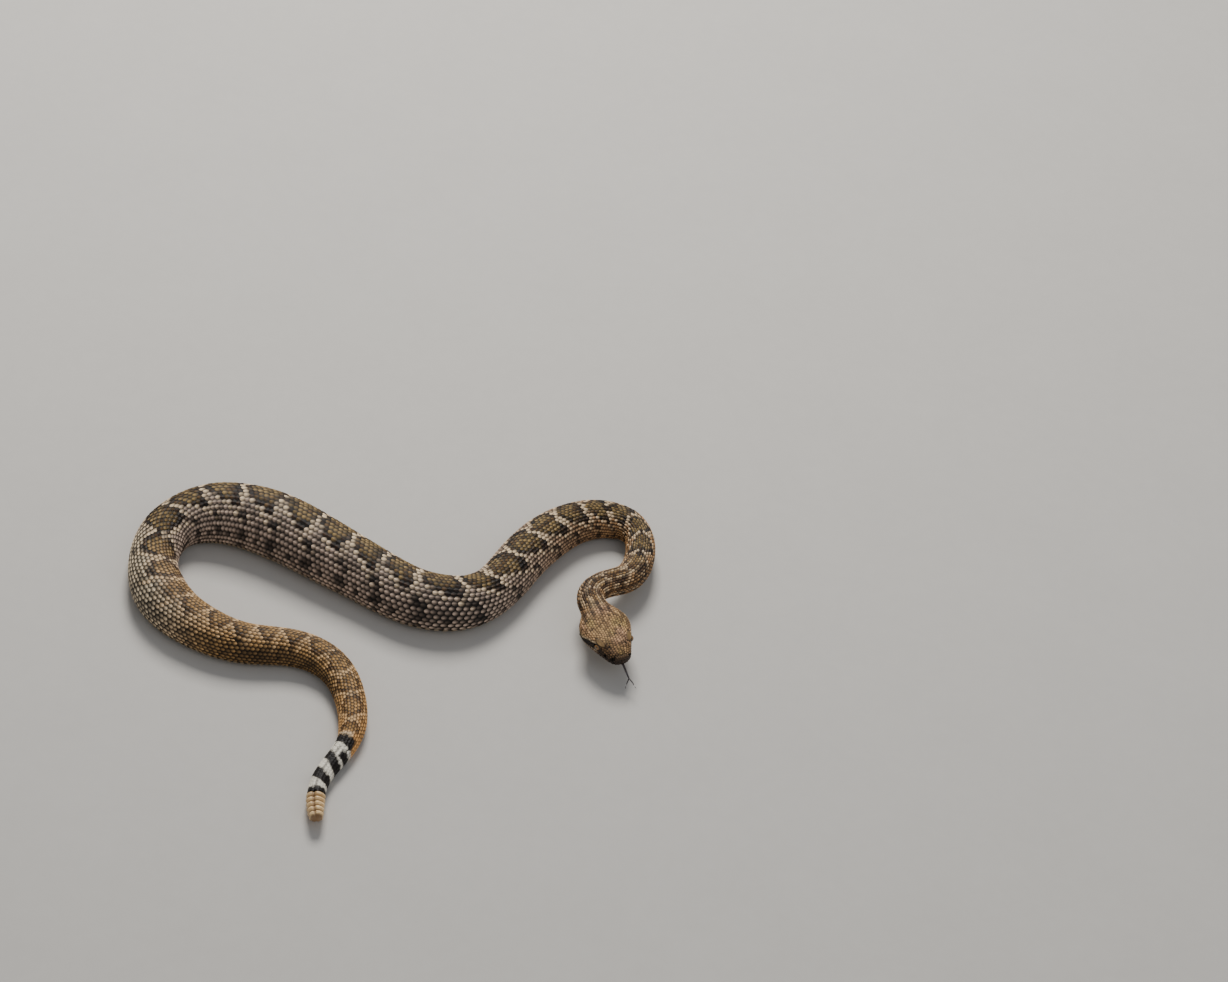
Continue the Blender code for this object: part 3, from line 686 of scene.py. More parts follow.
@dataclass(frozen=True)
class Finish:
    """What every finish has.

    Attributes:
        name: the material's name.
        roughness: how dull it is at most places.
    """

    name: str
    roughness: float = 0.5

    def start(self) -> tuple[bpy.types.Material, bpy.types.NodeTree, bpy.types.Node]:
        """Makes the material.

        Returns:
            The material, its node tree and its Principled shader.
        """
        material = bpy.data.materials.new(self.name)
        material.use_nodes = True
        tree = material.node_tree
        shader = tree.nodes["Principled BSDF"]
        shader.inputs["Roughness"].default_value = self.roughness
        return material, tree, shader

    def grained(self, tree: bpy.types.NodeTree, group: bpy.types.NodeTree, size: float,
                strength: float) -> bpy.types.Node:
        """Adds the grain group and gives its colour to the shader.

        Args:
            tree: the material's node tree.
            group: the grain group.
            size: grains per metre.
            strength: how much they change the colour.

        Returns:
            The group's node.
        """
        grain = tree.nodes.new("ShaderNodeGroup")
        grain.node_tree = group
        for name, value in (("Grain size", size), ("Strength", strength), ("Roughness", self.roughness)):
            grain.inputs[name].default_value = value
        tree.links.new(grain.outputs["Color"], tree.nodes["Principled BSDF"].inputs["Base Color"])
        return grain


def worked(tree: bpy.types.NodeTree, operation: str,
           *given: float | bpy.types.NodeSocket) -> bpy.types.NodeSocket:
    """Adds a maths node.

    Args:
        tree: where it goes.
        operation: what it does.
        given: a number or another node's output for each of its inputs.

    Returns:
        Its output.
    """
    node = tree.nodes.new("ShaderNodeMath")
    node.operation = operation
    for number, value in enumerate(given):
        if isinstance(value, bpy.types.NodeSocket):
            tree.links.new(value, node.inputs[number])
        else:
            node.inputs[number].default_value = value
    return node.outputs[0]


def mottle_group() -> bpy.types.NodeTree:
    """Node group that breaks a colour up with fine grain and puts out a roughness and a height to go with it.

    Returns:
        The group: inputs Color, Grain size, Strength and Roughness, outputs Color, Roughness and Height.
    """
    group = bpy.data.node_groups.new("Grain", "ShaderNodeTree")
    for name, way, kind in (("Color", "INPUT", "Color"), ("Grain size", "INPUT", "Float"),
                            ("Strength", "INPUT", "Float"), ("Roughness", "INPUT", "Float"),
                            ("Color", "OUTPUT", "Color"), ("Roughness", "OUTPUT", "Float"),
                            ("Height", "OUTPUT", "Float")):
        group.interface.new_socket(name=name, in_out=way, socket_type=f"NodeSocket{kind}")
    nodes, links = group.nodes, group.links
    given, out = nodes.new("NodeGroupInput"), nodes.new("NodeGroupOutput")
    place = nodes.new("ShaderNodeTexCoord")
    fine, coarse = nodes.new("ShaderNodeTexNoise"), nodes.new("ShaderNodeTexNoise")
    for noise, factor in ((fine, 1.0), (coarse, 0.17)):
        links.new(worked(group, "MULTIPLY", given.outputs["Grain size"], factor), noise.inputs["Scale"])
        links.new(place.outputs["Object"], noise.inputs["Vector"])
        noise.inputs["Detail"].default_value = 3.0
    total = worked(group, "ADD", fine.outputs["Fac"], coarse.outputs["Fac"])
    centred = worked(group, "SUBTRACT", total, 1.0)
    swing = worked(group, "MULTIPLY_ADD", centred, given.outputs["Strength"], 1.0)
    dull = worked(group, "MULTIPLY_ADD", centred, 0.25, given.outputs["Roughness"])
    paint = nodes.new("ShaderNodeVectorMath")
    paint.operation = "SCALE"
    links.new(given.outputs["Color"], paint.inputs[0])
    links.new(swing, paint.inputs["Scale"])
    for made, name in ((paint.outputs[0], "Color"), (dull, "Roughness"), (fine.outputs["Fac"], "Height")):
        links.new(made, out.inputs[name])
    return group


@dataclass(frozen=True)
class ToneFinish(Finish):
    """A finish whose colour is the piece's own tone attribute, broken up by grain, with a slight bump.

    Attributes:
        grain: grains per metre.
        strength: how much the grain changes the colour.
        bump: depth of the grain, in metres.
        sheen: coat weight of a moist or waxy layer.
        gloss: strength of its own reflection.
    """

    grain: float = 1400.0
    strength: float = 0.35
    bump: float = 0.00006
    sheen: float = 0.0
    gloss: float = 0.5

    def make(self, group: bpy.types.NodeTree) -> bpy.types.Material:
        """Builds the material.

        Args:
            group: the grain group.

        Returns:
            The material.
        """
        material, tree, shader = self.start()
        tone = tree.nodes.new("ShaderNodeAttribute")
        tone.attribute_name = "tone"
        grain = self.grained(tree, group, self.grain, self.strength)
        bump = tree.nodes.new("ShaderNodeBump")
        bump.inputs["Distance"].default_value = self.bump
        tree.links.new(tone.outputs["Color"], grain.inputs["Color"])
        tree.links.new(grain.outputs["Roughness"], shader.inputs["Roughness"])
        tree.links.new(grain.outputs["Height"], bump.inputs["Height"])
        tree.links.new(bump.outputs["Normal"], shader.inputs["Normal"])
        shader.inputs["Specular IOR Level"].default_value = self.gloss
        shader.inputs["Coat Weight"].default_value = self.sheen
        shader.inputs["Coat Roughness"].default_value = 0.12
        return material


@dataclass(frozen=True)
class FloorFinish(Finish):
    """Pale plain floor with a trace of grain.

    Attributes:
        colour: its colour.
        grain: grains per metre.
        strength: how much they change the colour.
    """

    colour: Array = hue(196, 192, 186)
    grain: float = 90.0
    strength: float = 0.06

    def make(self, group: bpy.types.NodeTree) -> bpy.types.Material:
        """Builds the material from the grain group.

        Args:
            group: the grain group.

        Returns:
            The material.
        """
        material, tree, _ = self.start()
        self.grained(tree, group, self.grain, self.strength).inputs["Color"].default_value = (*self.colour, 1)
        return material


@dataclass
class Piece:
    """One mesh piece of the model, gathered as arrays.

    Attributes:
        name: the piece's name.
        slot: a material slot of the record; not used.
        nodes: CAD nodes that it stands for.
    """

    name: str
    slot: str
    nodes: tuple = ()

    def build(self, places: Array, faces: list, tones: Array, material: bpy.types.Material,
              uv: Array | None = None, sharp: float | None = None) -> bpy.types.Object:
        """Makes the object.

        Args:
            places: vertices in millimetres.
            faces: face arrays, each (count, corners).
            tones: a colour for each vertex.
            material: its finish.
            uv: a place on the bake map for each vertex.
            sharp: angle in degrees over which an edge stays sharp.

        Returns:
            The finished object.
        """
        mesh = bpy.data.meshes.new(self.name)
        corners = np.concatenate([f.ravel() for f in faces]).astype(np.int32)
        counts = np.concatenate([np.full(len(f), f.shape[1]) for f in faces])
        starts = np.concatenate([[0], np.cumsum(counts)[:-1]]).astype(np.int32)
        mesh.vertices.add(len(places))
        mesh.vertices.foreach_set("co", (np.asarray(places) * MM).astype(np.float32).ravel())
        mesh.loops.add(len(corners))
        mesh.loops.foreach_set("vertex_index", corners)
        mesh.polygons.add(len(counts))
        mesh.polygons.foreach_set("loop_start", starts)
        mesh.polygons.foreach_set("use_smooth", np.ones(len(counts), bool))
        if uv is not None:
            layer = mesh.uv_layers.new(name="OFBake")
            layer.data.foreach_set("uv", uv[corners].astype(np.float32).ravel())
        mesh.update(calc_edges=True)
        mesh.validate()
        paint = mesh.attributes.new("tone", "FLOAT_COLOR", "POINT")
        colours = np.c_[np.clip(tones, 0, 1), np.ones(len(tones))]
        paint.data.foreach_set("color", colours.astype(np.float32).ravel())
        if sharp is not None:
            mesh.set_sharp_from_angle(angle=math.radians(sharp))
        mesh.materials.append(material)
        made = bpy.data.objects.new(self.name, mesh)
        bpy.context.scene.collection.objects.link(made)
        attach(made, "root")
        if self.nodes:
            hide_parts(*self.nodes)
        log.info("%s: %d vertices, %d faces", self.name, len(places), len(counts))
        return made


def grid_faces(rows: int, columns: int, round_columns: bool = False) -> Array:
    """Quads of a grid of vertices stored row by row, closed round its columns if wanted.

    Args:
        rows, columns: of vertices.
        round_columns: whether a row closes.

    Returns:
        Four vertices for each quad.
    """
    across = columns if round_columns else columns - 1
    i, j = np.meshgrid(np.arange(rows - 1), np.arange(across), indexing="ij")
    k = (j + 1) % columns
    corners = (i * columns + j, (i + 1) * columns + j, (i + 1) * columns + k, i * columns + k)
    return np.stack(corners, -1).reshape(-1, 4)


def tube_faces(rows: int, columns: int, turned: bool = False) -> list:
    """Faces of rings of vertices stored ring by ring, with one across each end, turned over if wanted.

    Args:
        rows, columns: rings, and vertices in each.
        turned: whether they are turned over.

    Returns:
        The quads, then the two ends.
    """
    first = np.arange(columns)
    last = first + (rows - 1) * columns
    faces = [grid_faces(rows, columns, True), first[None], last[None, ::-1]]
    return [f[:, ::-1] for f in faces] if turned else faces


@dataclass(frozen=True)
class Relief:
    """Hollows of the skin of the head.

    Attributes:
        form: the shape.
        hollows: along, above the centre line, radius and depth of eye socket, nostril and heat pit.
        mouth_depth, mouth_width: of the groove between the lips.
    """

    form: Form
    hollows: tuple = ((EYE_ALONG, EYE_ABOVE, EYE_RADIUS * 0.95, 1.5), (*NOSTRIL, 1.2), (*PIT, 1.5))
    mouth_depth: float = 0.6
    mouth_width: float = 0.4

    def lift(self, along: Array, share: Array) -> Array:
        """How far the skin stands out: less in the eye sockets, nostrils, heat pits and along the mouth.

        A hollow is a depth times the exponential of minus the fourth power of the distance over its radius.

        Args:
            along, share: places on the skin.

        Returns:
            Distance out of the outline, less than 0 in a hollow.
        """
        side, girth = np.abs(share), self.form.half_girth(along)
        lift = np.zeros(np.broadcast(along, share).shape)
        for at, above, radius, depth in self.hollows:
            away = np.hypot(along - at, (side - self.form.side_share(at, above)) * girth)
            lift = lift - depth * hump(away, 0, radius, 4)
        mouth = self.mouth_depth * hump((side - self.form.mouth_share(along)) * girth, 0, self.mouth_width)
        return lift - mouth * step_down(along, MOUTH_CORNER - 1, MOUTH_CORNER + 2)


@dataclass
class Skin:
    """The one skin under all scales, from the snout to the root of the rattle.

    Attributes:
        form, markings: the shape and its colours.
        head_sides, body_sides: vertices round a ring on the head and past it.
        head_step, body_step: distance between rings.
        seam: along at which the head's rings pass into the body's.
        shade: how light the skin between the scales is, as a share of theirs.
    """

    form: Form
    markings: Markings
    head_sides: int = 176
    body_sides: int = 88
    head_step: float = 0.42
    body_step: float = 1.7
    seam: float = 56.0
    shade: float = 0.10

    def build(self, material: bpy.types.Material) -> bpy.types.Object:
        """Builds the skin: rings of the outline, drawn in by the coat's depth and by the head's relief.

        Args:
            material: its finish.

        Returns:
            The piece.
        """
        head_along = np.concatenate([(0.05, 0.2, 0.4, 0.7), np.arange(1.1, self.seam, self.head_step)])
        body_along = np.arange(self.seam + self.body_step, TAIL_END + 0.4, self.body_step)
        parts, places, tones, maps, faces = [], [], [], [], []
        for along, sides in ((head_along, self.head_sides), (body_along, self.body_sides)):
            share = np.linspace(-1, 1, sides, endpoint=False)
            a, s = (grid.ravel() for grid in np.meshgrid(along, share, indexing="ij"))
            point, _, _, out = self.form.frames(a, s)
            lift = Relief(self.form).lift(a, s) * (a < HEAD_SCALES_END) - self.form.coat
            places.append(point + out * lift[:, None])
            tones.append(self.markings.tone(a, s) * self.shade)
            maps.append(np.c_[a / RATTLE_END, (s + 1) / 2])
            parts.append((len(along), sides))
        (head_rows, head_columns), (body_rows, body_columns) = parts
        offset = head_rows * head_columns
        faces.append(grid_faces(head_rows, head_columns, True))
        faces.append(grid_faces(body_rows, body_columns, True) + offset)
        j = np.arange(body_columns)
        last = (head_rows - 1) * head_columns
        twice, after = last + 2 * j, last + (2 * j + 2) % head_columns
        faces.append(np.stack([twice, offset + j, offset + (j + 1) % body_columns, after, twice + 1], -1))
        tips = self.form.place(np.array([0.0, TAIL_END + 0.6]), 0.0, 0.0)
        tips[0] += unit(self.form.place(2.0, 0, 0) - tips[0]) * self.form.coat
        count = offset + body_rows * body_columns
        k = np.arange(head_columns)
        faces.append(np.stack([np.full(head_columns, count), k, (k + 1) % head_columns], -1))
        end = offset + (body_rows - 1) * body_columns + j
        faces.append(np.stack([np.full(body_columns, count + 1), np.roll(end, -1), end], -1))
        places.append(tips)
        tones.append(np.full((2, 3), 0.02))
        maps.append(np.array([[0, 0.5], [1, 0.5]]))
        return Piece("skin", "skin", FLESH).build(
            np.vstack(places), [f[:, ::-1] for f in faces], np.vstack(tones), material, np.vstack(maps))


class Shape(Enum):
    """How a scale or plate is cut and crowned."""

    KEELED = "keeled"
    SMOOTH = "smooth"
    PILLOW = "pillow"


@dataclass(frozen=True)
class ScaleShape:
    """One scale as a grid over (across, lengthways), with a skirt round it and a floor that closes it.

    Attributes:
        columns, rows: places of the grid's lines, across from -1 to 1 and lengthways from root 0 to tip 1.
        widths: half width at each row, as a share of the scale's own.
        shape: how it is crowned.
    """

    columns: tuple
    rows: tuple
    widths: tuple
    shape: Shape

    def grid(self) -> tuple[Array, Array, Array]:
        """Across and lengthways of each vertex, and the order of the vertices on the rim.

        Returns:
            The three arrays.
        """
        v, u = np.meshgrid(self.rows, self.columns, indexing="ij")
        rim = rim_of(len(self.rows), len(self.columns))
        return (u * np.array(self.widths)[:, None]).ravel(), v.ravel(), rim

    def root(self) -> float:
        """Lengthways of the point that is laid at a scale's place: its root, or a pillow's middle."""
        return 0.5 if self.shape is Shape.PILLOW else 0.0

    def crown(self) -> tuple[Array, Array]:
        """Height of each vertex as shares of lift and of ridge.

        Returns:
            The rise from root to tip with its fall to the edges, and the keel or the swelling of a pillow.
        """
        v, u = (g.ravel() for g in np.meshgrid(self.rows, self.columns, indexing="ij"))
        if self.shape is Shape.PILLOW:
            t = 2 * v - 1
            return np.full(v.shape, 0.0), (1 - np.abs(u) ** 3.5) * (1 - np.abs(t) ** 3.5)
        rise = -0.30 + 1.30 * v - 0.62 * u**2 * (0.4 + 0.6 * v)
        if self.shape is Shape.SMOOTH:
            return rise, np.zeros(v.shape)
        lengthways = np.interp(v, (0, 0.2, 0.5, 0.85, 1), (0.2, 0.85, 1.0, 0.9, 0.25))
        return rise, np.interp(np.abs(u), (0, 0.2, 0.62, 1), (1, 0.16, 0.0, 0.0)) * lengthways


KEELED = ScaleShape((-1, -0.62, -0.2, 0, 0.2, 0.62, 1), (0, 0.25, 0.5, 0.74, 0.92, 1),
                    (0.45, 0.84, 1.0, 0.86, 0.50, 0.16), Shape.KEELED)
SMOOTH = ScaleShape((-1, -0.5, 0, 0.5, 1), (0, 0.3, 0.6, 0.85, 1), (0.6, 0.95, 1.0, 0.75, 0.3), Shape.SMOOTH)
PILLOW = ScaleShape((-1, -0.82, -0.4, 0, 0.4, 0.82, 1), (0, 0.09, 0.3, 0.5, 0.7, 0.91, 1),
                    (0.9, 0.97, 1, 1, 1, 0.97, 0.9), Shape.PILLOW)


@dataclass
class Batch:
    """Many scales of one shape, each laid on the skin at its own place.

    Attributes:
        along, share: each scale's root, or a pillow's middle.
        half_width, length: its size in millimetres.
        lift, ridge: height of its tip over the skin and of its keel or crown, in millimetres.
        angle: how far its tip is turned from the tail towards the left, in radians.
    """

    along: Array
    share: Array
    half_width: Array
    length: Array
    lift: Array
    ridge: Array
    angle: Array

    def values(self) -> list:
        """All its arrays, in the order of the fields."""
        return [getattr(self, name) for name in self.__dataclass_fields__]

    def kept(self, mask: Array) -> "Batch":
        """The scales for which the mask holds."""
        return Batch(*(value[mask] for value in self.values()))

    def joined(self, *others: "Batch") -> "Batch":
        """These scales and others in one batch."""
        batches = (self, *others)
        return Batch(*(np.concatenate(column) for column in zip(*(batch.values() for batch in batches))))


def closed_plates(top: Array, under: Array, rows: int, columns: int) -> tuple[Array, list]:
    """Closed solids, each a grid of vertices above, a wall round it and one face below.

    Args:
        top: (plates, rows times columns, 3).
        under: a vertex below each one of the rim, (plates, rim, 3).
        rows, columns: of each grid.

    Returns:
        Vertices, plate by plate, and faces.
    """
    rim = rim_of(rows, columns)
    low = rows * columns + np.arange(len(rim))
    wall = np.stack([np.roll(rim, -1), rim, low, np.roll(low, -1)], -1)
    places = np.concatenate([top, under], axis=1)
    base = (np.arange(len(top)) * places.shape[1])[:, None, None]
    parts = (grid_faces(rows, columns)[:, ::-1], wall, low[None, ::-1])
    faces = [(part[None] + base).reshape(-1, part.shape[-1]) for part in parts]
    return places.reshape(-1, 3), faces


def rim_of(rows: int, columns: int) -> Array:
    """The vertices on the rim of a grid, in order."""
    index = np.arange(rows * columns).reshape(rows, columns)
    return np.concatenate([index[0], index[1:, -1], index[-1, -2::-1], index[-2:0:-1, 0]])


def skirted(tone: Array, rim: Array, shade: float) -> Array:
    """Colours of the tops of plates, and of their rims once more, darkened, for the vertices below."""
    return np.concatenate([tone, tone[:, rim] * shade], axis=1).reshape(-1, 3)


def mapped(root: Array, down: Array, across: Array, rim: Array) -> Array:
    """Places on the bake map: a patch round each plate's root, then its rim's places once more.

    Args:
        root: place of each plate on the map.
        down, across: place of each vertex in its patch.
        rim: order of the vertices on the rim.

    Returns:
        Places on the map, plate by plate.
    """
    patch = np.stack([down, across], -1)
    patch = np.concatenate([patch, patch[rim]])
    return (root[:, None] + patch[None]).reshape(-1, 2)


@dataclass
class Coat:
    """Lays batches of scales on the skin and makes pieces of them.

    Attributes:
        form, markings: the shape and its colours.
        skirt: how far a scale's edge goes down into the skin.
        narrower: size of its underside as a share of its top's.
        deepest: how far it follows a hollow of the skin.
        crisp_ends: in front of the first and behind the second a scale carries the pattern itself.
        even_from: along from which no scale is paler or darker as a whole.
        edge_depths: along, and how much painted shade darkens a keeled scale's edges and root there.
        brightest: the highest value of a colour.
    """

    form: Form
    markings: Markings
    skirt: float = 0.5
    narrower: float = 0.94
    deepest: float = 1.2
    crisp_ends: tuple = (HEAD_END, 850)
    even_from: float = 840
    edge_depths: tuple = ((0, 0.6), (30, 0.66), (60, 0.86), (846, 0.86), (858, 0.3))
    brightest: float = 0.82

    def spread(self, batch: Batch, across: Array, down: Array) -> tuple[Array, Array]:
        """Along and share of each vertex.

        A vertex goes length times lengthways down the scale's own direction and half width times across it,
        and is carried over the skin at that many millimetres from the root. Where the skin is stretched
        lengthways, as on the outside of a bend, the scale is longer.

        Args:
            batch: the scales.
            across, down: each vertex's shares of the half width and of the length, counted from the root.

        Returns:
            Along and share, each (scales, vertices).
        """
        step = 0.5
        before = self.form.outer(np.maximum(batch.along - step, 0.02), batch.share)
        stretch = np.linalg.norm(self.form.outer(batch.along + step, batch.share) - before, axis=1)
        stretch = np.clip(stretch / (2 * step), 0.45, 3.0)
        longer = np.where(batch.along > HEAD_SCALES_END, np.clip(0.3 + 0.7 * stretch, 0.5, 1.12), 1.0)
        down = down[None] * batch.length[:, None] * longer[:, None]
        over = across[None] * batch.half_width[:, None]
        cosine, sine = np.cos(batch.angle)[:, None], np.sin(batch.angle)[:, None]
        back, left = down * cosine - over * sine, down * sine + over * cosine
        along = np.maximum(batch.along[:, None] + back / stretch[:, None], 0.05)
        return along, batch.share[:, None] + left / np.maximum(self.form.half_girth(along), 0.5)

    def tones(self, batch: Batch, shape: ScaleShape, along: Array, share: Array) -> Array:
        """Colour of each vertex of the tops.

        On the body a scale takes one colour from near its middle, and a few are darker or paler as a whole.
        On the head and tail each vertex takes most of its own. Keels and middles carry a painted highlight,
        edges and roots painted shade.

        Args:
            batch: the scales.
            shape: their shape.
            along, share: of each vertex.

        Returns:
            Colours, (scales, vertices, 3).
        """
        u, v, _ = shape.grid()
        keel = shape.crown()[1]
        keeled = shape.shape is Shape.KEELED
        first, last = self.crisp_ends
        at = np.clip(batch.along + (0.35 - shape.root()) * batch.length, 0.1, 930)
        tone = self.markings.tone(at, wrapped(batch.share))[:, None]
        crisp = ((batch.along > last) | (batch.along < first))[:, None]
        own_place = self.markings.tone(np.where(crisp, along, 100.0), wrapped(share))
        tone = mixed(tone, own_place, np.where(crisp, 0.75, 0.0))

        chance = hashed(np.arange(len(batch.along)), np.round(batch.along * 7))
        speck = np.where(chance > 0.80, 0.55, np.where(chance < 0.15, 1.25, 0.84 + 0.32 * chance))
        even = (batch.along > self.even_from) | (not keeled)
        tone = tone * np.where(even, 0.95, speck)[:, None, None]

        # Painted highlight: keels and middles of keeled scales, the tips of smooth scales and plates
        light, depth, gain = 0.25 * np.clip(v, 0, 1), 0.5, 1.1
        if keeled:
            light = 0.8 * step_down(np.abs(u), 0.1, 0.8) * step_up(v, 0.2, 0.6) + 0.25 * np.clip(keel, 0, 1)
            depth, gain = eased(batch.along, *zip(*self.edge_depths))[:, None], 1.4
        light = self.markings.pale(at, batch.share)[:, None] * light[None]
        # Painted shade: edges and roots darker, where the neighbouring scales lap over them
        dark = (1 - depth * step_up(np.abs(u), 0.2, 1.0)) * (1 - 1.05 * depth * step_down(v, 0.3, 0.8)) * gain
        tone = tone * (1 + 2.4 * light)[..., None] * dark[..., None]
        return tone * np.minimum(1, self.brightest / np.maximum(tone.max(axis=-1, keepdims=True), 1e-6))

    def lay(self, name: str, batch: Batch, shape: ScaleShape,
            material: bpy.types.Material) -> bpy.types.Object:
        """Bends each scale over the skin, out of which it stands by its rise and its keel.

        Args:
            name: the piece's name.
            batch: the scales.
            shape: their shape.
            material: their finish.

        Returns:
            The piece.
        """
        u, v, rim = shape.grid()
        rise, keel = shape.crown()
        along, share = self.spread(batch, u, v - shape.root())
        point, _, _, out = self.form.frames(along.ravel(), share.ravel())
        raised = (rise[None] * batch.lift[:, None] + keel[None] * batch.ridge[:, None]).ravel()
        hollow = np.clip(Relief(self.form).lift(along.ravel(), wrapped(share.ravel())), -self.deepest, 0)
        height = raised + np.where(along.ravel() < HEAD_SCALES_END, hollow, 0) - self.form.coat
        top = (point + out * height[:, None]).reshape(len(batch.along), -1, 3)
        top[..., 2] = np.clip(top[..., 2], FLOOR_ROOM, CAD_BOX[1][2] / MM - TOP_ROOM)
        under = (point + out * (height - self.skirt)[:, None]).reshape(top.shape)[:, rim]
        centre = top.mean(axis=1, keepdims=True)
        under = centre + (under - centre) * self.narrower
        places, faces = closed_plates(top, under, len(shape.rows), len(shape.columns))
        tones = skirted(self.tones(batch, shape, along, share), rim, 0.45)
        start, end = batch.along.min(), batch.along.max()
        lengthways = 0.003 + 0.994 * (batch.along - start) / max(end - start, 1)
        root = np.stack([lengthways, (batch.share + 1) / 2 % 1], -1)
        uv = mapped(root * 0.994 + 0.003, (v - 0.5) * 0.003, u * 0.5 * 0.003, rim)
        return Piece(name, "skin").build(places, faces, tones, material, uv, 62)


@dataclass
class Lattice:
    """Where the scales of the back and sides lie: rows lengthways, each half a pitch off from the next.

    Attributes:
        form: the shape.
        half_rows: rows on each side of the middle one.
        pitches: along and distance between scales of a row there.
        dropped: pairs of rows and where they thin out, from full width to none.
        body_edge, tail_edge: share down to which the rows reach on the body and on the tail.
        tail_starts: stretch over which the one edge passes into the other.
        lap: length of a scale as a multiple of its pitch.
        widths: along, and half width of a scale as a multiple of the distance between rows.
        lifts, ridges: along, and height of a scale's tip and of its keel as shares of its length.
        smooth_edge: shares of the rows' reach between which the keels fade.
        unevenness: by how much of a pitch a scale is off its place, and of a radian turned.
    """

    form: Form
    half_rows: int = 13
    pitches: tuple = ((0, 1.35), (8, 1.6), (20, 1.95), (38, 2.3), (60, 2.6), (110, 2.9), (200, 3.4),
                      (350, 3.8), (520, 3.95), (620, 3.5), (700, 3.25), (770, 3.0), (838, 2.8), (912, 2.6))
    dropped: tuple = ((3, 13.0, 7.5), (4, 13.0, 7.5), (7, 18.0, 11.0), (8, 18.0, 11.0), (11, 22.0, 14.0),
                      (12, 22.0, 14.0), (13, 200.0, 180.0), (6, 700.0, 718.0), (7, 700.0, 718.0),
                      (9, 795.0, 811.0), (10, 795.0, 811.0), (3, 855.0, 869.0), (4, 855.0, 869.0))
    body_edge: float = BODY_EDGE
    tail_edge: float = 0.80
    tail_starts: tuple = (842, 862)
    lap: float = 1.5
    widths: tuple = ((0, 0.68), (40, 0.67), (70, 0.67), (300, 0.68))
    lifts: tuple = ((0, 0.055), (30, 0.06), (60, 0.07), (200, 0.085), (840, 0.085), (880, 0.06))
    ridges: tuple = ((0, 0.0), (12, 0.02), (30, 0.035), (60, 0.05), (840, 0.05), (885, 0.03))
    smooth_edge: tuple = (0.84, 0.97)
    unevenness: float = 0.10

    def reach(self, along: Array) -> Array:
        """Share of the lowest row's lower edge: over the lips on the head, beside the scutes on the body.

        Args:
            along: distance from the snout.

        Returns:
            The shares.
        """
        labial = self.form.mouth_share(along) - 2.1 / np.maximum(self.form.half_girth(along), 1)
        body = self.body_edge + (self.tail_edge - self.body_edge) * step_up(along, *self.tail_starts)
        return labial + (body - labial) * step_up(along, *LEAVES_LIPS)

    def weights(self, along: Array) -> Array:
        """Width of each row from the middle outwards, as a share of a whole one, (places, rows).

        Args:
            along: distance from the snout.

        Returns:
            The widths.
        """
        weight = np.ones((len(along), self.half_rows + 1))
        for row, start, end in self.dropped:
            weight[:, row] *= step_up(along, end, start) if start > end else step_down(along, start, end)
        return weight

    def counted(self, start: float, end: float, factor: float = 1.0) -> tuple[Array, Array, Array, Array]:
        """Whole numbers of pitches from the snout.

        Args:
            start, end: between which distances along.
            factor: what the pitch is multiplied by.

        Returns:
            The numbers, stations, the pitches before each of those, and the pitch there.
        """
        stations = np.arange(0, RATTLE_END, STATION_STEP)
        pitch = np.interp(stations, *zip(*self.pitches)) * factor
        count = np.concatenate([[0], np.cumsum(STATION_STEP / pitch)[:-1]])
        numbers = np.arange(math.ceil(np.interp(start, stations, count)), np.interp(end, stations, count))
        return numbers, stations, count, pitch

    def batch(self, start: float, end: float) -> Batch:
        """Lays out all rows.

        Args:
            start, end: between which distances along.

        Returns:
            The scales, with their sizes from the pitch and from the rows' spacing.
        """
        numbers, stations, count, _ = self.counted(start, end)
        rows = []
        for row in range(-self.half_rows, self.half_rows + 1):
            number = numbers + 0.5 * (row % 2)
            number = number + self.unevenness * (hashed(number * 2, np.full(len(number), row)) - 0.5)
            along = np.interp(number, count, stations)
            weight, reach = self.weights(along), self.reach(along)
            inner = np.cumsum(weight, axis=1) - weight / 2 - 0.5
            whole = weight.sum(axis=1) - 0.5
            middle, wide = inner[:, abs(row)] / whole * reach, weight[:, abs(row)]
            spacing = reach * self.form.half_girth(along) / whole
            half_width = spacing * wide * eased(along, *zip(*self.widths))
            length = np.interp(along, *zip(*self.pitches)) * self.lap
            rows.append(np.stack([along, np.sign(row) * middle, half_width, length], -1)[wide > 0.5])
        along, own, half_width, length = np.vstack(rows).T
        chance = hashed(np.round(along * 11), np.round(own * 97))
        tall, ridge = (eased(along, *zip(*heights)) for heights in (self.lifts, self.ridges))
        ridge = ridge * (1 - 0.85 * step_up(np.abs(own) / self.reach(along), *self.smooth_edge))
        return Batch(along, self.form.lie(along, own), half_width * (0.94 + 0.08 * chance),
                     length * (0.95 + 0.1 * chance), tall * length * (0.9 + 0.2 * chance), ridge * length,
                     (chance - 0.5) * self.unevenness)


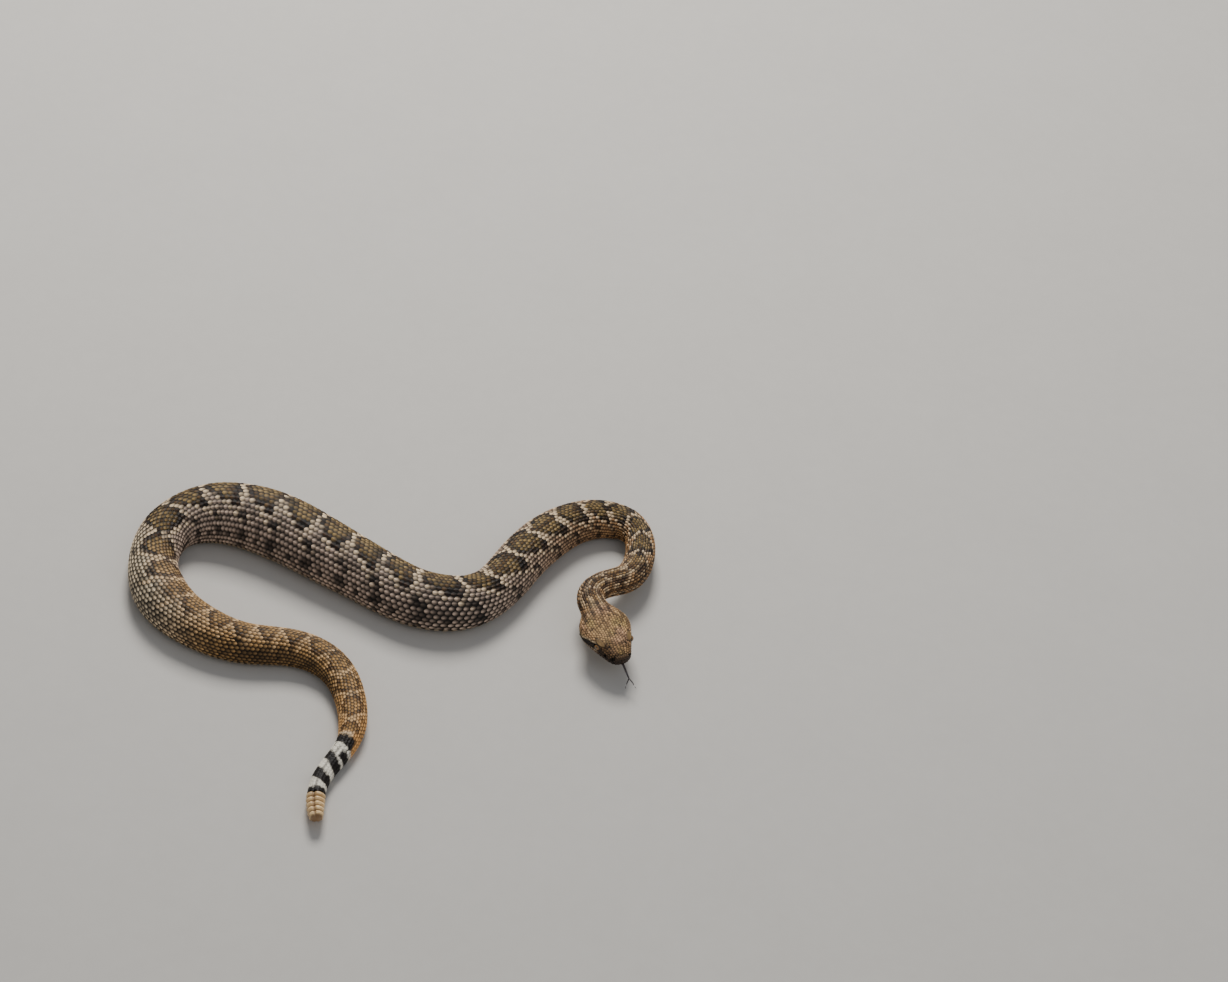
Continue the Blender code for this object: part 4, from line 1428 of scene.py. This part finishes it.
@dataclass
class HeadPlates:
    """Plates of the head: the lips, the rings of small scales round the eyes, and the chin.

    Attributes:
        form: the shape.
        lip_plates: plates along each side of a lip.
        lip_height: height of a lip plate.
        eye_ring: small scales round an eye.
        ridge: how far a pillow's middle stands over its edge.
        chin_rows: rows of chin scales on each side of the middle one.
        chin_pitch: distance between chin scales of a row.
        rooms: along, above the centre line, and how far scales keep from eyes, nostrils and pits.
        brow_room: half length and half width of what is kept clear for a brow.
    """

    form: Form
    lip_plates: int = 15
    lip_height: float = 1.9
    eye_ring: int = 15
    ridge: float = 0.30
    chin_rows: int = 7
    chin_pitch: float = 2.5
    rooms: tuple = ((EYE_ALONG, EYE_ABOVE, EYE_RADIUS + 0.95), (*NOSTRIL[:2], 1.15), (*PIT[:2], 1.45))
    brow_room: tuple = (3.9, 1.9)

    def pillows(self) -> Batch:
        """Lip plates above and below the mouth, and the rings round the eyes.

        Returns:
            All of them in one batch of pillows.
        """
        stations = np.linspace(0, 1, self.lip_plates + 1) ** 0.92 * (MOUTH_CORNER - 2.2) + 1.6
        middle, length = (stations[1:] + stations[:-1]) / 2, np.diff(stations)
        girth, mouth = self.form.half_girth(middle), self.form.mouth_share(middle)
        found = []
        for side in (1, -1):
            for way, tall in ((-1, self.lip_height), (1, self.lip_height * 0.9)):
                share = side * (mouth + way * (tall / 2 + 0.22) / girth)
                found.append(self.even(middle, share, tall / 2 * 0.98, length * 0.97))
            eye_share = self.form.side_share(EYE_ALONG, EYE_ABOVE)
            round_eye = np.linspace(0, 2 * math.pi, self.eye_ring, endpoint=False)
            radius = EYE_RADIUS + 0.45
            along = EYE_ALONG + radius * np.cos(round_eye)
            share = side * (eye_share + radius * np.sin(round_eye) / self.form.half_girth(along))
            ring = self.even(along, share, 0.60, 1.5)
            ring.angle = side * round_eye
            found.append(ring)
        return found[0].joined(*found[1:])

    def even(self, along: Array, share: Array, half_width: float, length: Array | float) -> Batch:
        """Pillows of one height with no turn."""
        none = np.zeros(along.shape)
        return Batch(along, share, none + half_width, none + length, none, none + self.ridge, none)

    def chin(self) -> Batch:
        """Smooth scales under the lower jaw, in rows lengthways between the lip plates and the scutes.

        Returns:
            The scales.
        """
        rows = []
        for row in range(-self.chin_rows, self.chin_rows + 1):
            along = np.arange(4.0, HEAD_SCALES_END, self.chin_pitch) + self.chin_pitch / 2 * (row % 2)
            girth = self.form.half_girth(along)
            mouth = self.form.mouth_share(along) + (self.lip_height + 0.3) / girth
            start = mouth + (BODY_EDGE - mouth) * step_up(along, *LEAVES_LIPS)
            spread = (1 - start) / (self.chin_rows + 0.5)
            rows.append(np.stack([along, 1 + row * spread, spread * girth * 0.62], -1))
        along, share, width = np.vstack(rows).T
        none = np.zeros(along.shape)
        return Batch(along, wrapped(share), width, none + 3.9, none + 0.26, none, none)

    def clear_of_features(self, batch: Batch) -> Batch:
        """The scales that keep clear of eyes, brows, nostrils and pits.

        Args:
            batch: scales of the head.

        Returns:
            Those that are kept.
        """
        side, girth = np.abs(batch.share), self.form.half_girth(batch.along)
        at = batch.along + batch.length * 0.45
        keep = np.ones(len(at), bool)
        for place, above, room in self.rooms:
            keep &= np.hypot(at - place, (side - self.form.side_share(place, above)) * girth) > room
        half_length, half_width = self.brow_room
        share = self.form.side_share(BROW_ALONG, BROW_ABOVE)
        away = np.hypot((at - BROW_ALONG) / half_length, (side - share + 0.03) * girth / half_width)
        return batch.kept(keep & ((away > 1) | (side == 0)))


@dataclass
class SnoutPlates:
    """The plates of the front of the head: rostral, nasals, the small scales over them, the mental below.

    Attributes:
        form, markings: the shape and its colours.
        middle: across, above, half width and half height of the plates in the middle, seen from in front.
        paired: the same for those that both sides have.
        ridge: how far a plate's middle stands over its edge.
        skirt: how far the edge goes down into the skin.
        taper: how much less the square of a plate's width is at its ends, and of its height at its sides.
    """

    form: Form
    markings: Markings
    middle: tuple = ((0.0, 0.4, 1.6, 1.6), (0.0, -2.75, 1.3, 0.8), (0.0, 2.85, 0.9, 0.85))
    paired: tuple = ((2.7, -0.4, 1.25, 0.95), (4.9, -0.5, 1.1, 0.95), (2.5, 1.45, 1.1, 0.95),
                     (4.45, 1.3, 1.0, 0.9), (6.1, 1.0, 0.75, 0.85), (1.75, 3.0, 0.95, 0.85),
                     (3.45, 3.0, 0.9, 0.85), (5.05, 2.7, 0.85, 0.8), (0.85, 4.3, 0.9, 0.7),
                     (2.5, 4.45, 0.85, 0.68), (4.05, 4.2, 0.8, 0.65), (2.6, -2.6, 1.25, 0.8),
                     (4.75, -2.4, 1.0, 0.75))
    ridge: float = 0.34
    skirt: float = 0.6
    taper: float = 0.42

    def met(self, across: Array, above: Array) -> Array:
        """The place seen there from in front: where a section of the outline first reaches out as far.

        Args:
            across, above: distances to the left and above the centre line.

        Returns:
            Places in the model.
        """
        stations = np.linspace(0.05, 3.6, 160) ** 2
        reach = np.hypot(*self.form.section(stations[:, None], np.arctan2(across, above)[None]))
        wanted = np.hypot(across, above)
        i = np.clip((reach < wanted).sum(axis=0), 1, len(stations) - 1)
        column = np.arange(len(wanted))
        low, high = reach[i - 1, column], reach[i, column]
        share = np.clip((wanted - low) / np.maximum(high - low, 1e-6), 0, 1)
        along = stations[i - 1] + share * (stations[i] - stations[i - 1])
        return self.form.place(along, across, above)

    def build(self, material: bpy.types.Material) -> bpy.types.Object:
        """Builds each plate as a pillow on the snout: its middle stands out, its edge goes into the skin.

        Args:
            material: its finish.

        Returns:
            The piece.
        """
        rows = [(y, z, a, b) for y, z, a, b in self.middle]
        rows += [(side * y, z, a, b) for y, z, a, b in self.paired for side in (1, -1)]
        across, above, half_width, half_height = (column[:, None] for column in np.array(rows).T)
        u, v, rim = PILLOW.grid()
        _, crown = PILLOW.crown()
        t = 2 * v[None] - 1
        y = (across + u[None] * half_width * np.sqrt(1 - self.taper * t**2)).ravel()
        z = (above + t * half_height * np.sqrt(1 - self.taper * u[None] ** 2)).ravel()
        point = self.met(y, z)
        left, up = self.met(y + 0.05, z) - point, self.met(y, z + 0.05) - point
        out = unit(np.cross(up, left))
        out = out * np.sign(out @ self.form.head_axes()[0] + 0.2)[:, None]
        height = np.tile(crown * self.ridge, len(rows)) - self.form.coat
        top = (point + out * height[:, None]).reshape(len(rows), -1, 3)
        under = (point + out * (height - self.skirt)[:, None]).reshape(top.shape)[:, rim]
        places, faces = closed_plates(top, under, len(PILLOW.rows), len(PILLOW.columns))
        noise = hashed(np.arange(len(rows)), np.arange(len(rows)))[:, None, None]
        tone = mixed(self.markings.black, self.markings.chocolate, 0.6 + 0.5 * noise[..., 0])
        tone = mixed(tone, self.markings.crown, 0.30 * step_up(above, 2.0, 4.6))
        # Painted shade and highlight: each plate darker at its edge and lighter over its swelling
        tone = tone * (0.45 + 0.75 * crown[None, :, None])
        side = np.arctan2(across, above)[:, 0] / (2 * math.pi) + 0.5
        uv = mapped(np.stack([np.full(side.shape, 0.004), side], -1), v * 0.003, u * 0.5 * 0.003, rim)
        return Piece("snout_plates", "skin").build(places, faces, skirted(tone, rim, 0.5), material, uv, 62)


@dataclass
class Brow:
    """The wide plate that overhangs an eye.

    Attributes:
        form, markings: the shape and its colours.
        size: half length, half width and half thickness.
        pitch, lean, yaw: degrees down to the front, down to the outside, and in to the front.
    """

    form: Form
    markings: Markings
    size: tuple = (4.6, 2.15, 0.55)
    pitch: float = 9.0
    lean: float = 20.0
    yaw: float = 22.0

    def build(self, side: int, material: bpy.types.Material) -> bpy.types.Object:
        """Builds a flat plate, longer than wide, with fine growth lines and an outer edge that turns up.

        Its height over the middle is the root of 1 less the fourth power of the distance out, as a share of
        the half thickness. A ridge follows the outer edge, and lines of a small sine run along it.

        Args:
            side: 1 for the left, -1 for the right.
            material: its finish.

        Returns:
            The piece.
        """
        forward, left, up = self.form.head_axes()
        pitch, lean, yaw = (math.radians(v) for v in (self.pitch, self.lean, self.yaw))
        level_ahead = math.cos(yaw) * forward - math.sin(yaw) * side * left
        level_out = math.cos(yaw) * side * left + math.sin(yaw) * forward
        ahead = math.cos(pitch) * level_ahead - math.sin(pitch) * up
        outward = math.cos(lean) * level_out - math.sin(lean) * up
        normal = np.cross(ahead, outward) * side
        columns = 64
        reach = np.concatenate([np.linspace(0.08, 0.9, 10), (0.95, 0.98, 1.0)])
        radius = np.concatenate([reach, reach[-2::-1]])
        sign = np.where(np.arange(len(radius)) < len(reach), 1, -1)
        r, turn = np.meshgrid(radius, np.linspace(0, 2 * math.pi, columns, False), indexing="ij")
        x = r * np.cos(turn) * (1 - 0.12 * np.sin(turn) ** 2)
        y = r * np.sin(turn) - 0.10 * np.cos(turn) ** 2 * r
        z = sign[:, None] * np.sqrt(np.clip(1 - r**4, 0, 1))
        top = step_up(z, 0.1, 0.6)
        z = z + top * (0.30 * hump(y, 0.66, 0.18) + 0.015 * np.sin(y * 22 + 2 * x * x))
        centre = self.form.on_side(BROW_ALONG, BROW_ABOVE, side, BROW_OUT)
        axes = zip((x, y, z), self.size, (ahead, outward, normal))
        places = (centre + sum(value[..., None] * size * axis for value, size, axis in axes)).reshape(-1, 3)
        grain = smooth_noise(x.ravel() * 3 + 5, y.ravel() * 2)
        brown = mixed(self.markings.crown, self.markings.moss, 0.35)
        tone = mixed(brown, self.markings.chocolate, np.clip(0.45 + 0.12 * grain, 0, 1))
        # Painted shade: darker towards the rim, where the plate rounds off
        tone = tone * (1 - 0.7 * step_up(r.ravel(), 0.7, 1.0))[:, None]
        name = "brow_left" if side > 0 else "brow_right"
        faces = tube_faces(len(radius), columns, side < 0)
        return Piece(name, "skin").build(places, faces, tone, material)


@dataclass
class Eye:
    """An eyeball with a speckled iris and an upright slit of a pupil.

    Attributes:
        form: the shape.
        forward_turn: degrees by which it looks forwards of straight out.
        rings, sides: rings of vertices from the middle of its face to its back, and vertices round each.
        slit: half width and half height of the pupil, as shares of the radius.
        gold, umber, amber, black: colours of the iris, of the edge of the pupil, and of the pupil.
    """

    form: Form
    forward_turn: float = 24.0
    rings: int = 65
    sides: int = 96
    slit: tuple = (0.17, 0.74)
    gold: Array = hue(150, 108, 60)
    umber: Array = hue(52, 34, 20)
    amber: Array = hue(186, 144, 88)
    black: Array = hue(12, 9, 8)

    def build(self, side: int, material: bpy.types.Material) -> bpy.types.Object:
        """Builds a ball whose colour is a function of the place on its face.

        The pupil is where the distance forwards over its half width at that height is less than 1. The iris
        is paler above, dark below, with rays and a dark rim.

        Args:
            side: 1 for the left, -1 for the right.
            material: its finish.

        Returns:
            The piece.
        """
        forward, left, up = self.form.head_axes()
        turn = math.radians(self.forward_turn)
        look = math.cos(turn) * side * left + math.sin(turn) * forward
        ahead = math.cos(turn) * forward - math.sin(turn) * side * left
        around = np.linspace(0, 2 * math.pi, self.sides, False)
        tilt, angle = np.meshgrid(np.linspace(0.01, math.pi - 0.01, self.rings), around, indexing="ij")
        x, y, z = np.sin(tilt) * np.cos(angle), np.sin(tilt) * np.sin(angle), np.cos(tilt)
        centre = self.form.on_side(EYE_ALONG, EYE_ABOVE, side, EYE_STANDS_OUT - EYE_RADIUS)
        places = centre + EYE_RADIUS * (x[..., None] * ahead + y[..., None] * up + z[..., None] * look)

        radius = np.hypot(x, y)
        half_width, half_height = self.slit
        slit = half_width * np.sqrt(np.clip(1 - (y / half_height) ** 2, 0, 1))
        slit = np.abs(x) / np.maximum(slit, 1e-3)
        level = np.abs(y) < half_height
        pupil = step_down(slit, 0.85, 1.15) * level * (z > 0)
        rays = 0.5 * smooth_noise(np.arctan2(y, x) * 9, radius * 5) + 0.5 * smooth_noise(x * 16 + 30, y * 16)
        iris = mixed(self.gold, self.umber, np.clip(0.35 - 0.45 * y + 0.35 * rays, 0, 1))
        iris = mixed(iris, self.amber, 0.5 * hump(slit, 1.5, 0.35) * level)
        tone = mixed(iris, self.black, np.clip(pupil + step_up(radius, 0.8, 0.93) + (z < 0), 0, 1))
        faces = tube_faces(self.rings, self.sides, side > 0)
        node = "eye_left" if side > 0 else "eye_right"
        ball = Piece(f"{node}_ball", "eye", (node,))
        return ball.build(places.reshape(-1, 3), faces, tone.reshape(-1, 3), material)


@dataclass
class BellyScutes:
    """The wide plates of the belly and tail, each lapped over the next.

    Attributes:
        form, markings, lattice: the shape, its colours and the rows beside which they end.
        columns, rows: vertices across and lengthways.
        lap: length of a scute as a multiple of its pitch.
        drop: how far its back edge stands out of the skin.
        pitch: distance between scutes, as a multiple of that between scales of a row.
        start, end: along between which they lie.
        tuck: share by which they reach under the lowest row of scales.
        thickness: how far a scute's wall goes down into the skin.
        floor_room: least distance from the floor.
    """

    form: Form
    markings: Markings
    lattice: Lattice
    columns: int = 25
    rows: int = 5
    lap: float = 1.22
    drop: float = 0.52
    pitch: float = 1.25
    start: float = 46.0
    end: float = TAIL_END - 3.5
    tuck: float = 0.035
    thickness: float = 0.9
    floor_room: float = 0.02

    def build(self, material: bpy.types.Material) -> bpy.types.Object:
        """Builds each scute as a strip bent over the belly from one side row to the other, and closes it.

        Args:
            material: its finish.

        Returns:
            The piece.
        """
        number, stations, count, pitch = self.lattice.counted(self.start, self.end, self.pitch)
        root = np.interp(number, count, stations)
        length = np.interp(root, stations, pitch) * self.lap
        grids = np.meshgrid(np.linspace(0, 1, self.rows), np.linspace(-1, 1, self.columns), indexing="ij")
        v, u = (grid.ravel() for grid in grids)
        along = root[:, None] + v[None] * length[:, None] * (1 - 0.10 * np.abs(u[None]) ** 3)
        reach = 1 - self.lattice.reach(root) + self.tuck
        share = self.form.lie(along, 1 + u[None] * reach[:, None])
        point, _, _, out = self.form.frames(along.ravel(), share.ravel())
        height = np.tile(-0.35 + (0.35 + self.drop) * v - 0.45 * np.abs(u) ** 6, len(root))
        top = (point + out * (height - self.form.coat)[:, None]).reshape(len(root), -1, 3)
        top[..., 2] = np.maximum(top[..., 2], self.floor_room)
        rim = rim_of(self.rows, self.columns)
        under = (point - out * (self.form.coat + self.thickness)).reshape(top.shape)[:, rim]
        places, faces = closed_plates(top, under, self.rows, self.columns)
        tone = self.markings.tone(along.ravel(), wrapped(share.ravel())).reshape(len(root), -1, 3)
        tone = tone * (0.92 + 0.16 * hashed(number))[:, None, None]
        # Painted shade: each scute darker at its front, which lies under the back edge of the one before
        tone = tone * (0.72 + 0.28 * step_up(v, 0, 0.5))[None, :, None]
        spot = np.stack([0.003 + 0.99 * (root - root.min()) / np.ptp(root), np.full(len(root), 0.5)], -1)
        uv = mapped(spot, (v - 0.5) * 0.003, u * 0.46, rim)
        return Piece("belly_scutes", "skin").build(places, faces, skirted(tone, rim, 0.6), material, uv, 50)


@dataclass
class Tongue:
    """The forked tongue: a flat stem and two tines that taper and curl.

    Attributes:
        width, thickness: of the stem.
        sides: vertices round it.
        rounded: share of a strand's length at which its end starts to round off.
        thinnest: least thickness of a tine as a share of the stem's.
        root: how far the stem runs on into the mouth.
        flesh, dark: its colours at the mouth and at the tips.
    """

    width: float = 1.9
    thickness: float = 1.0
    sides: int = 20
    rounded: float = 0.94
    thinnest: float = 0.35
    root: float = 2.0
    flesh: Array = hue(40, 26, 30)
    dark: Array = hue(16, 12, 15)

    def strand(self, points: tuple, shares: tuple, count: int) -> tuple[Array, list]:
        """A tube of oval sections along a curve, closed with rounded ends.

        Args:
            points: places that it passes.
            shares: its size at start and end, as a share of the stem's.
            count: sections.

        Returns:
            Vertices and faces.
        """
        points = np.array(points, float)
        line = smooth_curve(points, unit(points[1] - points[0]), 0.1)
        line = line[np.linspace(0, len(line) - 1, count).astype(int)]
        direction = unit(np.gradient(line, axis=0))
        wide = unit(np.cross(direction, (0.0, 0.0, 1.0)))
        high = np.cross(wide, direction)
        t = np.linspace(0, 1, count)
        ending = np.clip((t - self.rounded) / 0.06, 0, 1)
        share = (shares[0] + (shares[1] - shares[0]) * t) * np.sqrt(np.clip(1 - ending**2, 0.02, 1))
        thick = np.maximum(share, self.thinnest * (share > 0.1))
        turn = np.linspace(0, 2 * math.pi, self.sides, endpoint=False)
        sine, cosine = np.sin(turn)[None, :, None], np.cos(turn)[None, :, None]
        offset = (share[:, None, None] * self.width / 2 * cosine * wide[:, None]
                  + thick[:, None, None] * self.thickness / 2 * sine * high[:, None])
        groove = 1 - 0.35 * hump(np.abs(sine), 1, 0.12)
        return (line[:, None] + offset * groove).reshape(-1, 3), tube_faces(count, self.sides)

    def build(self, material: bpy.types.Material) -> bpy.types.Object:
        """Joins the stem and the tines, whose roots run inside it.

        Args:
            material: its finish.

        Returns:
            The piece.
        """
        root = np.array(TONGUE_STEM[0]) - unit(np.subtract(TONGUE_STEM[1], TONGUE_STEM[0])) * self.root
        strands = [self.strand((root, *TONGUE_STEM), (1.0, 0.72), 60)]
        strands += [self.strand((*TONGUE_STEM[-2:], *tip), (0.62, 0.24), 70) for tip in TONGUE_TIPS]
        places, faces, start = [], [], 0
        for points, parts in strands:
            places.append(points)
            faces += [part + start for part in parts]
            start += len(points)
        places = np.vstack(places)
        tone = mixed(self.flesh, self.dark, step_up(-places[:, 1], -2, 8))
        return Piece("tongue_flesh", "tongue", ("tongue",)).build(places, faces, tone, material)


@dataclass
class Rattle:
    """Horny segments in a row, each lobed and grooved along the top and the bottom, and the button at the end.

    Attributes:
        form: the shape.
        sides, rings: vertices round a segment, and rings of them along it.
        profile: place along a segment, and swelling there.
        button: the same for the button.
        furrow: depth and width of the furrow down each side, as a share of the radius and in radians.
        groove: the same for the groove along the top and the bottom.
        groove_turn: angle by which the upper groove is off the top.
        line_depth: depth of the fine lines round a segment.
        taper: by how much of its size the rattle is smaller at its end than at its root.
        pale, amber, dark: colours of the horn, of its patches, and of painted shade in its recesses.
    """

    form: Form
    sides: int = 96
    rings: int = 33
    profile: tuple = ((0.0, 0.86), (0.06, 0.95), (0.2, 1.05), (0.4, 1.10), (0.6, 1.09), (0.78, 1.02),
                      (0.9, 0.95), (1.0, 0.84))
    button: tuple = ((0.0, 0.86), (0.1, 0.98), (0.3, 1.04), (0.5, 1.01), (0.7, 0.88), (0.85, 0.66),
                     (0.95, 0.40), (1.0, 0.10))
    furrow: tuple = (0.17, 0.3)
    groove: tuple = (0.20, 0.2)
    groove_turn: float = 0.25
    line_depth: float = 0.006
    taper: float = 0.34
    pale: Array = hue(246, 214, 160)
    amber: Array = hue(208, 158, 96)
    dark: Array = hue(112, 76, 42)

    def build(self, material: bpy.types.Material) -> None:
        """Builds each segment: the outline times the swelling, less the furrows, the grooves and the taper.

        Args:
            material: their finish.
        """
        turn = np.linspace(-math.pi, math.pi, self.sides, endpoint=False)
        share = np.linspace(0, 1, self.rings)
        for number in range(SEGMENTS + 1):
            last = number == SEGMENTS
            length = (BUTTON_LENGTH if last else SEGMENT_LENGTH) - GAP
            start = TAIL_END + number * SEGMENT_LENGTH + GAP / 2
            swell = eased(share, *zip(*(self.button if last else self.profile)))[:, None]
            along, turns = np.meshgrid(start + share * length, turn, indexing="ij")
            across, above = self.form.section(along, turns)
            furrow = self.furrow[0] * hump(np.abs(turns), math.pi / 2, self.furrow[1])
            top = np.minimum(np.abs(turns - self.groove_turn), math.pi - np.abs(turns))
            groove = self.groove[0] * hump(top, 0, self.groove[1])
            lines = self.line_depth * np.sin(share * 26)[:, None]
            taper = 1 - self.taper * ((along - TAIL_END) / (RATTLE_END - TAIL_END)) ** 1.6
            size = (swell * (1 - furrow - groove) + lines) * taper
            places = self.form.place(along, across * size, above * size).reshape(-1, 3)
            worn = smooth_noise(turns * 5 + number * 7, along * 1.3).ravel()
            tone = mixed(self.pale, self.amber, np.clip(0.35 + 0.4 * worn, 0, 1))
            # Painted shade in the furrows, the grooves and the joints between segments
            groove_shade = 1 - step_up(swell, 0.84, 1.04) * (1 - 3.2 * furrow - 5 * groove)
            tone = mixed(tone, self.dark, 0.85 * np.clip(groove_shade, 0, 1).ravel())
            tone = tone * (0.98 if number else 0.85)
            node = "rattle_button" if last else f"rattle_segment_{number + 1}"
            faces = tube_faces(self.rings, self.sides, True)
            Piece(f"{node}_horn", "rattle", (node,)).build(places, faces, tone, material)


@dataclass(frozen=True)
class Studio:
    """Camera at the photograph's angle, soft lights and a plain pale floor.

    Attributes:
        camera_place: in metres.
        right, up: the camera's own axes.
        lens: focal length for a 36 mm wide sensor.
        lights: name, place, size, power and colour of each.
        sky, sky_strength: colour and strength of the light from all round.
        floor_reach: half the width of the floor.
    """

    camera_place: tuple = (0.15103, -1.68486, 1.836)
    right: tuple = (0.98919, 0.10241, 0.10498)
    up: tuple = (-0.14666, 0.69071, 0.70811)
    lens: float = 102.2
    lights: tuple = (("key", (-0.25, 1.6, 1.75), 0.9, 62.0, (1.0, 0.98, 0.94)),
                     ("fill", (1.2, -1.0, 1.6), 1.6, 6.0, (0.93, 0.96, 1.0)))
    sky: tuple = (0.88, 0.91, 0.96, 1)
    sky_strength: float = 0.34
    floor_reach: float = 6.0

    def put(self, name: str, data: bpy.types.ID, place: tuple, axes: tuple) -> bpy.types.Object:
        """Adds an object to the scene, with its x, y and z axes along three directions.

        Args:
            name, data: its name, and its camera or lamp.
            place, axes: where it stands, and the directions.

        Returns:
            The object.
        """
        made = bpy.data.objects.new(name, data)
        rows = [[*row, 0] for row in np.stack(axes, 1)]
        made.matrix_world = Matrix.Translation(place) @ Matrix([*rows, [0, 0, 0, 1]])
        bpy.context.scene.collection.objects.link(made)
        return made

    def camera(self) -> None:
        """Makes the scene's camera."""
        data = bpy.data.cameras.new("camera")
        data.lens, data.sensor_width = self.lens, 36.0
        data.clip_start, data.clip_end = 0.01, 50.0
        right, up = unit(np.array(self.right)), unit(np.array(self.up))
        up = unit(up - right * (up @ right))
        axes = (right, up, np.cross(right, up))
        bpy.context.scene.camera = self.put("camera", data, self.camera_place, axes)

    def light(self, name: str, place: tuple, size: float, power: float, colour: tuple) -> None:
        """Adds a square soft light that faces the snake.

        Args:
            name, place: its name, and where it stands.
            size, power, colour: side, watts and colour.
        """
        data = bpy.data.lights.new(name, "AREA")
        data.shape, data.size, data.energy, data.color = "SQUARE", size, power, colour
        away = unit(np.array(place))
        side = unit(np.cross((0.0, 1.0, 0.001), away))
        self.put(name, data, place, (side, np.cross(away, side), away))

    def build(self, floor_material: bpy.types.Material) -> None:
        """Makes camera, lights, sky and floor.

        Args:
            floor_material: the floor's finish.
        """
        self.camera()
        for values in self.lights:
            self.light(*values)
        world = bpy.data.worlds.new("sky")
        world.use_nodes = True
        background = world.node_tree.nodes["Background"]
        background.inputs["Color"].default_value = self.sky
        background.inputs["Strength"].default_value = self.sky_strength
        bpy.context.scene.world = world
        mesh = bpy.data.meshes.new("floor")
        reach = self.floor_reach
        corners = [(-reach, -reach, 0), (reach, -reach, 0), (reach, reach, 0), (-reach, reach, 0)]
        mesh.from_pydata(corners, [], [(0, 1, 2, 3)])
        mesh.materials.append(floor_material)
        floor = bpy.data.objects.new("floor", mesh)
        bpy.context.scene.collection.objects.link(floor)


# Along at which the scales of the back pass from one piece to the next
BACK_ENDS = (HEAD_SCALES_END, 230, 350, 460, 580, 710, TAIL_END)
# Along between which the rows of scales lie
SCALES_FROM, SCALES_TO = 0.9, TAIL_END - 4.0


def main() -> None:
    """Builds and dresses every piece in order."""
    logging.basicConfig(level=logging.INFO, format="%(message)s")
    group = mottle_group()
    Studio().build(FloorFinish("pale floor", 0.8).make(group))
    form = Form()
    markings = Markings(form)
    lattice = Lattice(form)
    coat = Coat(form, markings)
    hide = ToneFinish("hide between the scales", 0.7, grain=900.0, strength=0.4, gloss=0.2).make(group)
    scale = ToneFinish("keeled scales", 0.58, grain=1600.0, strength=0.5, bump=0.00008, gloss=0.22)
    plate = ToneFinish("smooth plates", 0.42, grain=1200.0, bump=0.00005, sheen=0.08, gloss=0.35)
    scale, plate = scale.make(group), plate.make(group)
    Skin(form, markings).build(hide)
    plates = HeadPlates(form)
    scales = lattice.batch(SCALES_FROM, SCALES_TO)
    head = plates.clear_of_features(scales.kept(scales.along < HEAD_SCALES_END))
    coat.lay("head_scales", head, KEELED, scale)
    for number, (start, end) in enumerate(zip(BACK_ENDS, BACK_ENDS[1:]), 1):
        stretch = scales.kept((scales.along >= start) & (scales.along < end))
        coat.lay(f"back_scales_{number}", stretch, KEELED, scale)
    coat.lay("lip_plates", plates.pillows(), PILLOW, plate)
    SnoutPlates(form, markings).build(plate)
    coat.lay("chin_scales", plates.chin(), SMOOTH, plate)
    BellyScutes(form, markings, lattice).build(plate)
    for name, side in (("left", 1), ("right", -1)):
        Brow(form, markings).build(side, scale)
        eye = ToneFinish(f"eye {name}", 0.12, grain=3000.0, strength=0.25, bump=0.0, sheen=0.4)
        Eye(form).build(side, eye.make(group))
    Tongue().build(ToneFinish("moist tongue", 0.3, grain=1500.0, strength=0.2, sheen=0.5).make(group))
    Rattle(form).build(ToneFinish("dry horn", 0.42, grain=700.0, bump=0.00005).make(group))


if __name__ == "__main__":
    main()
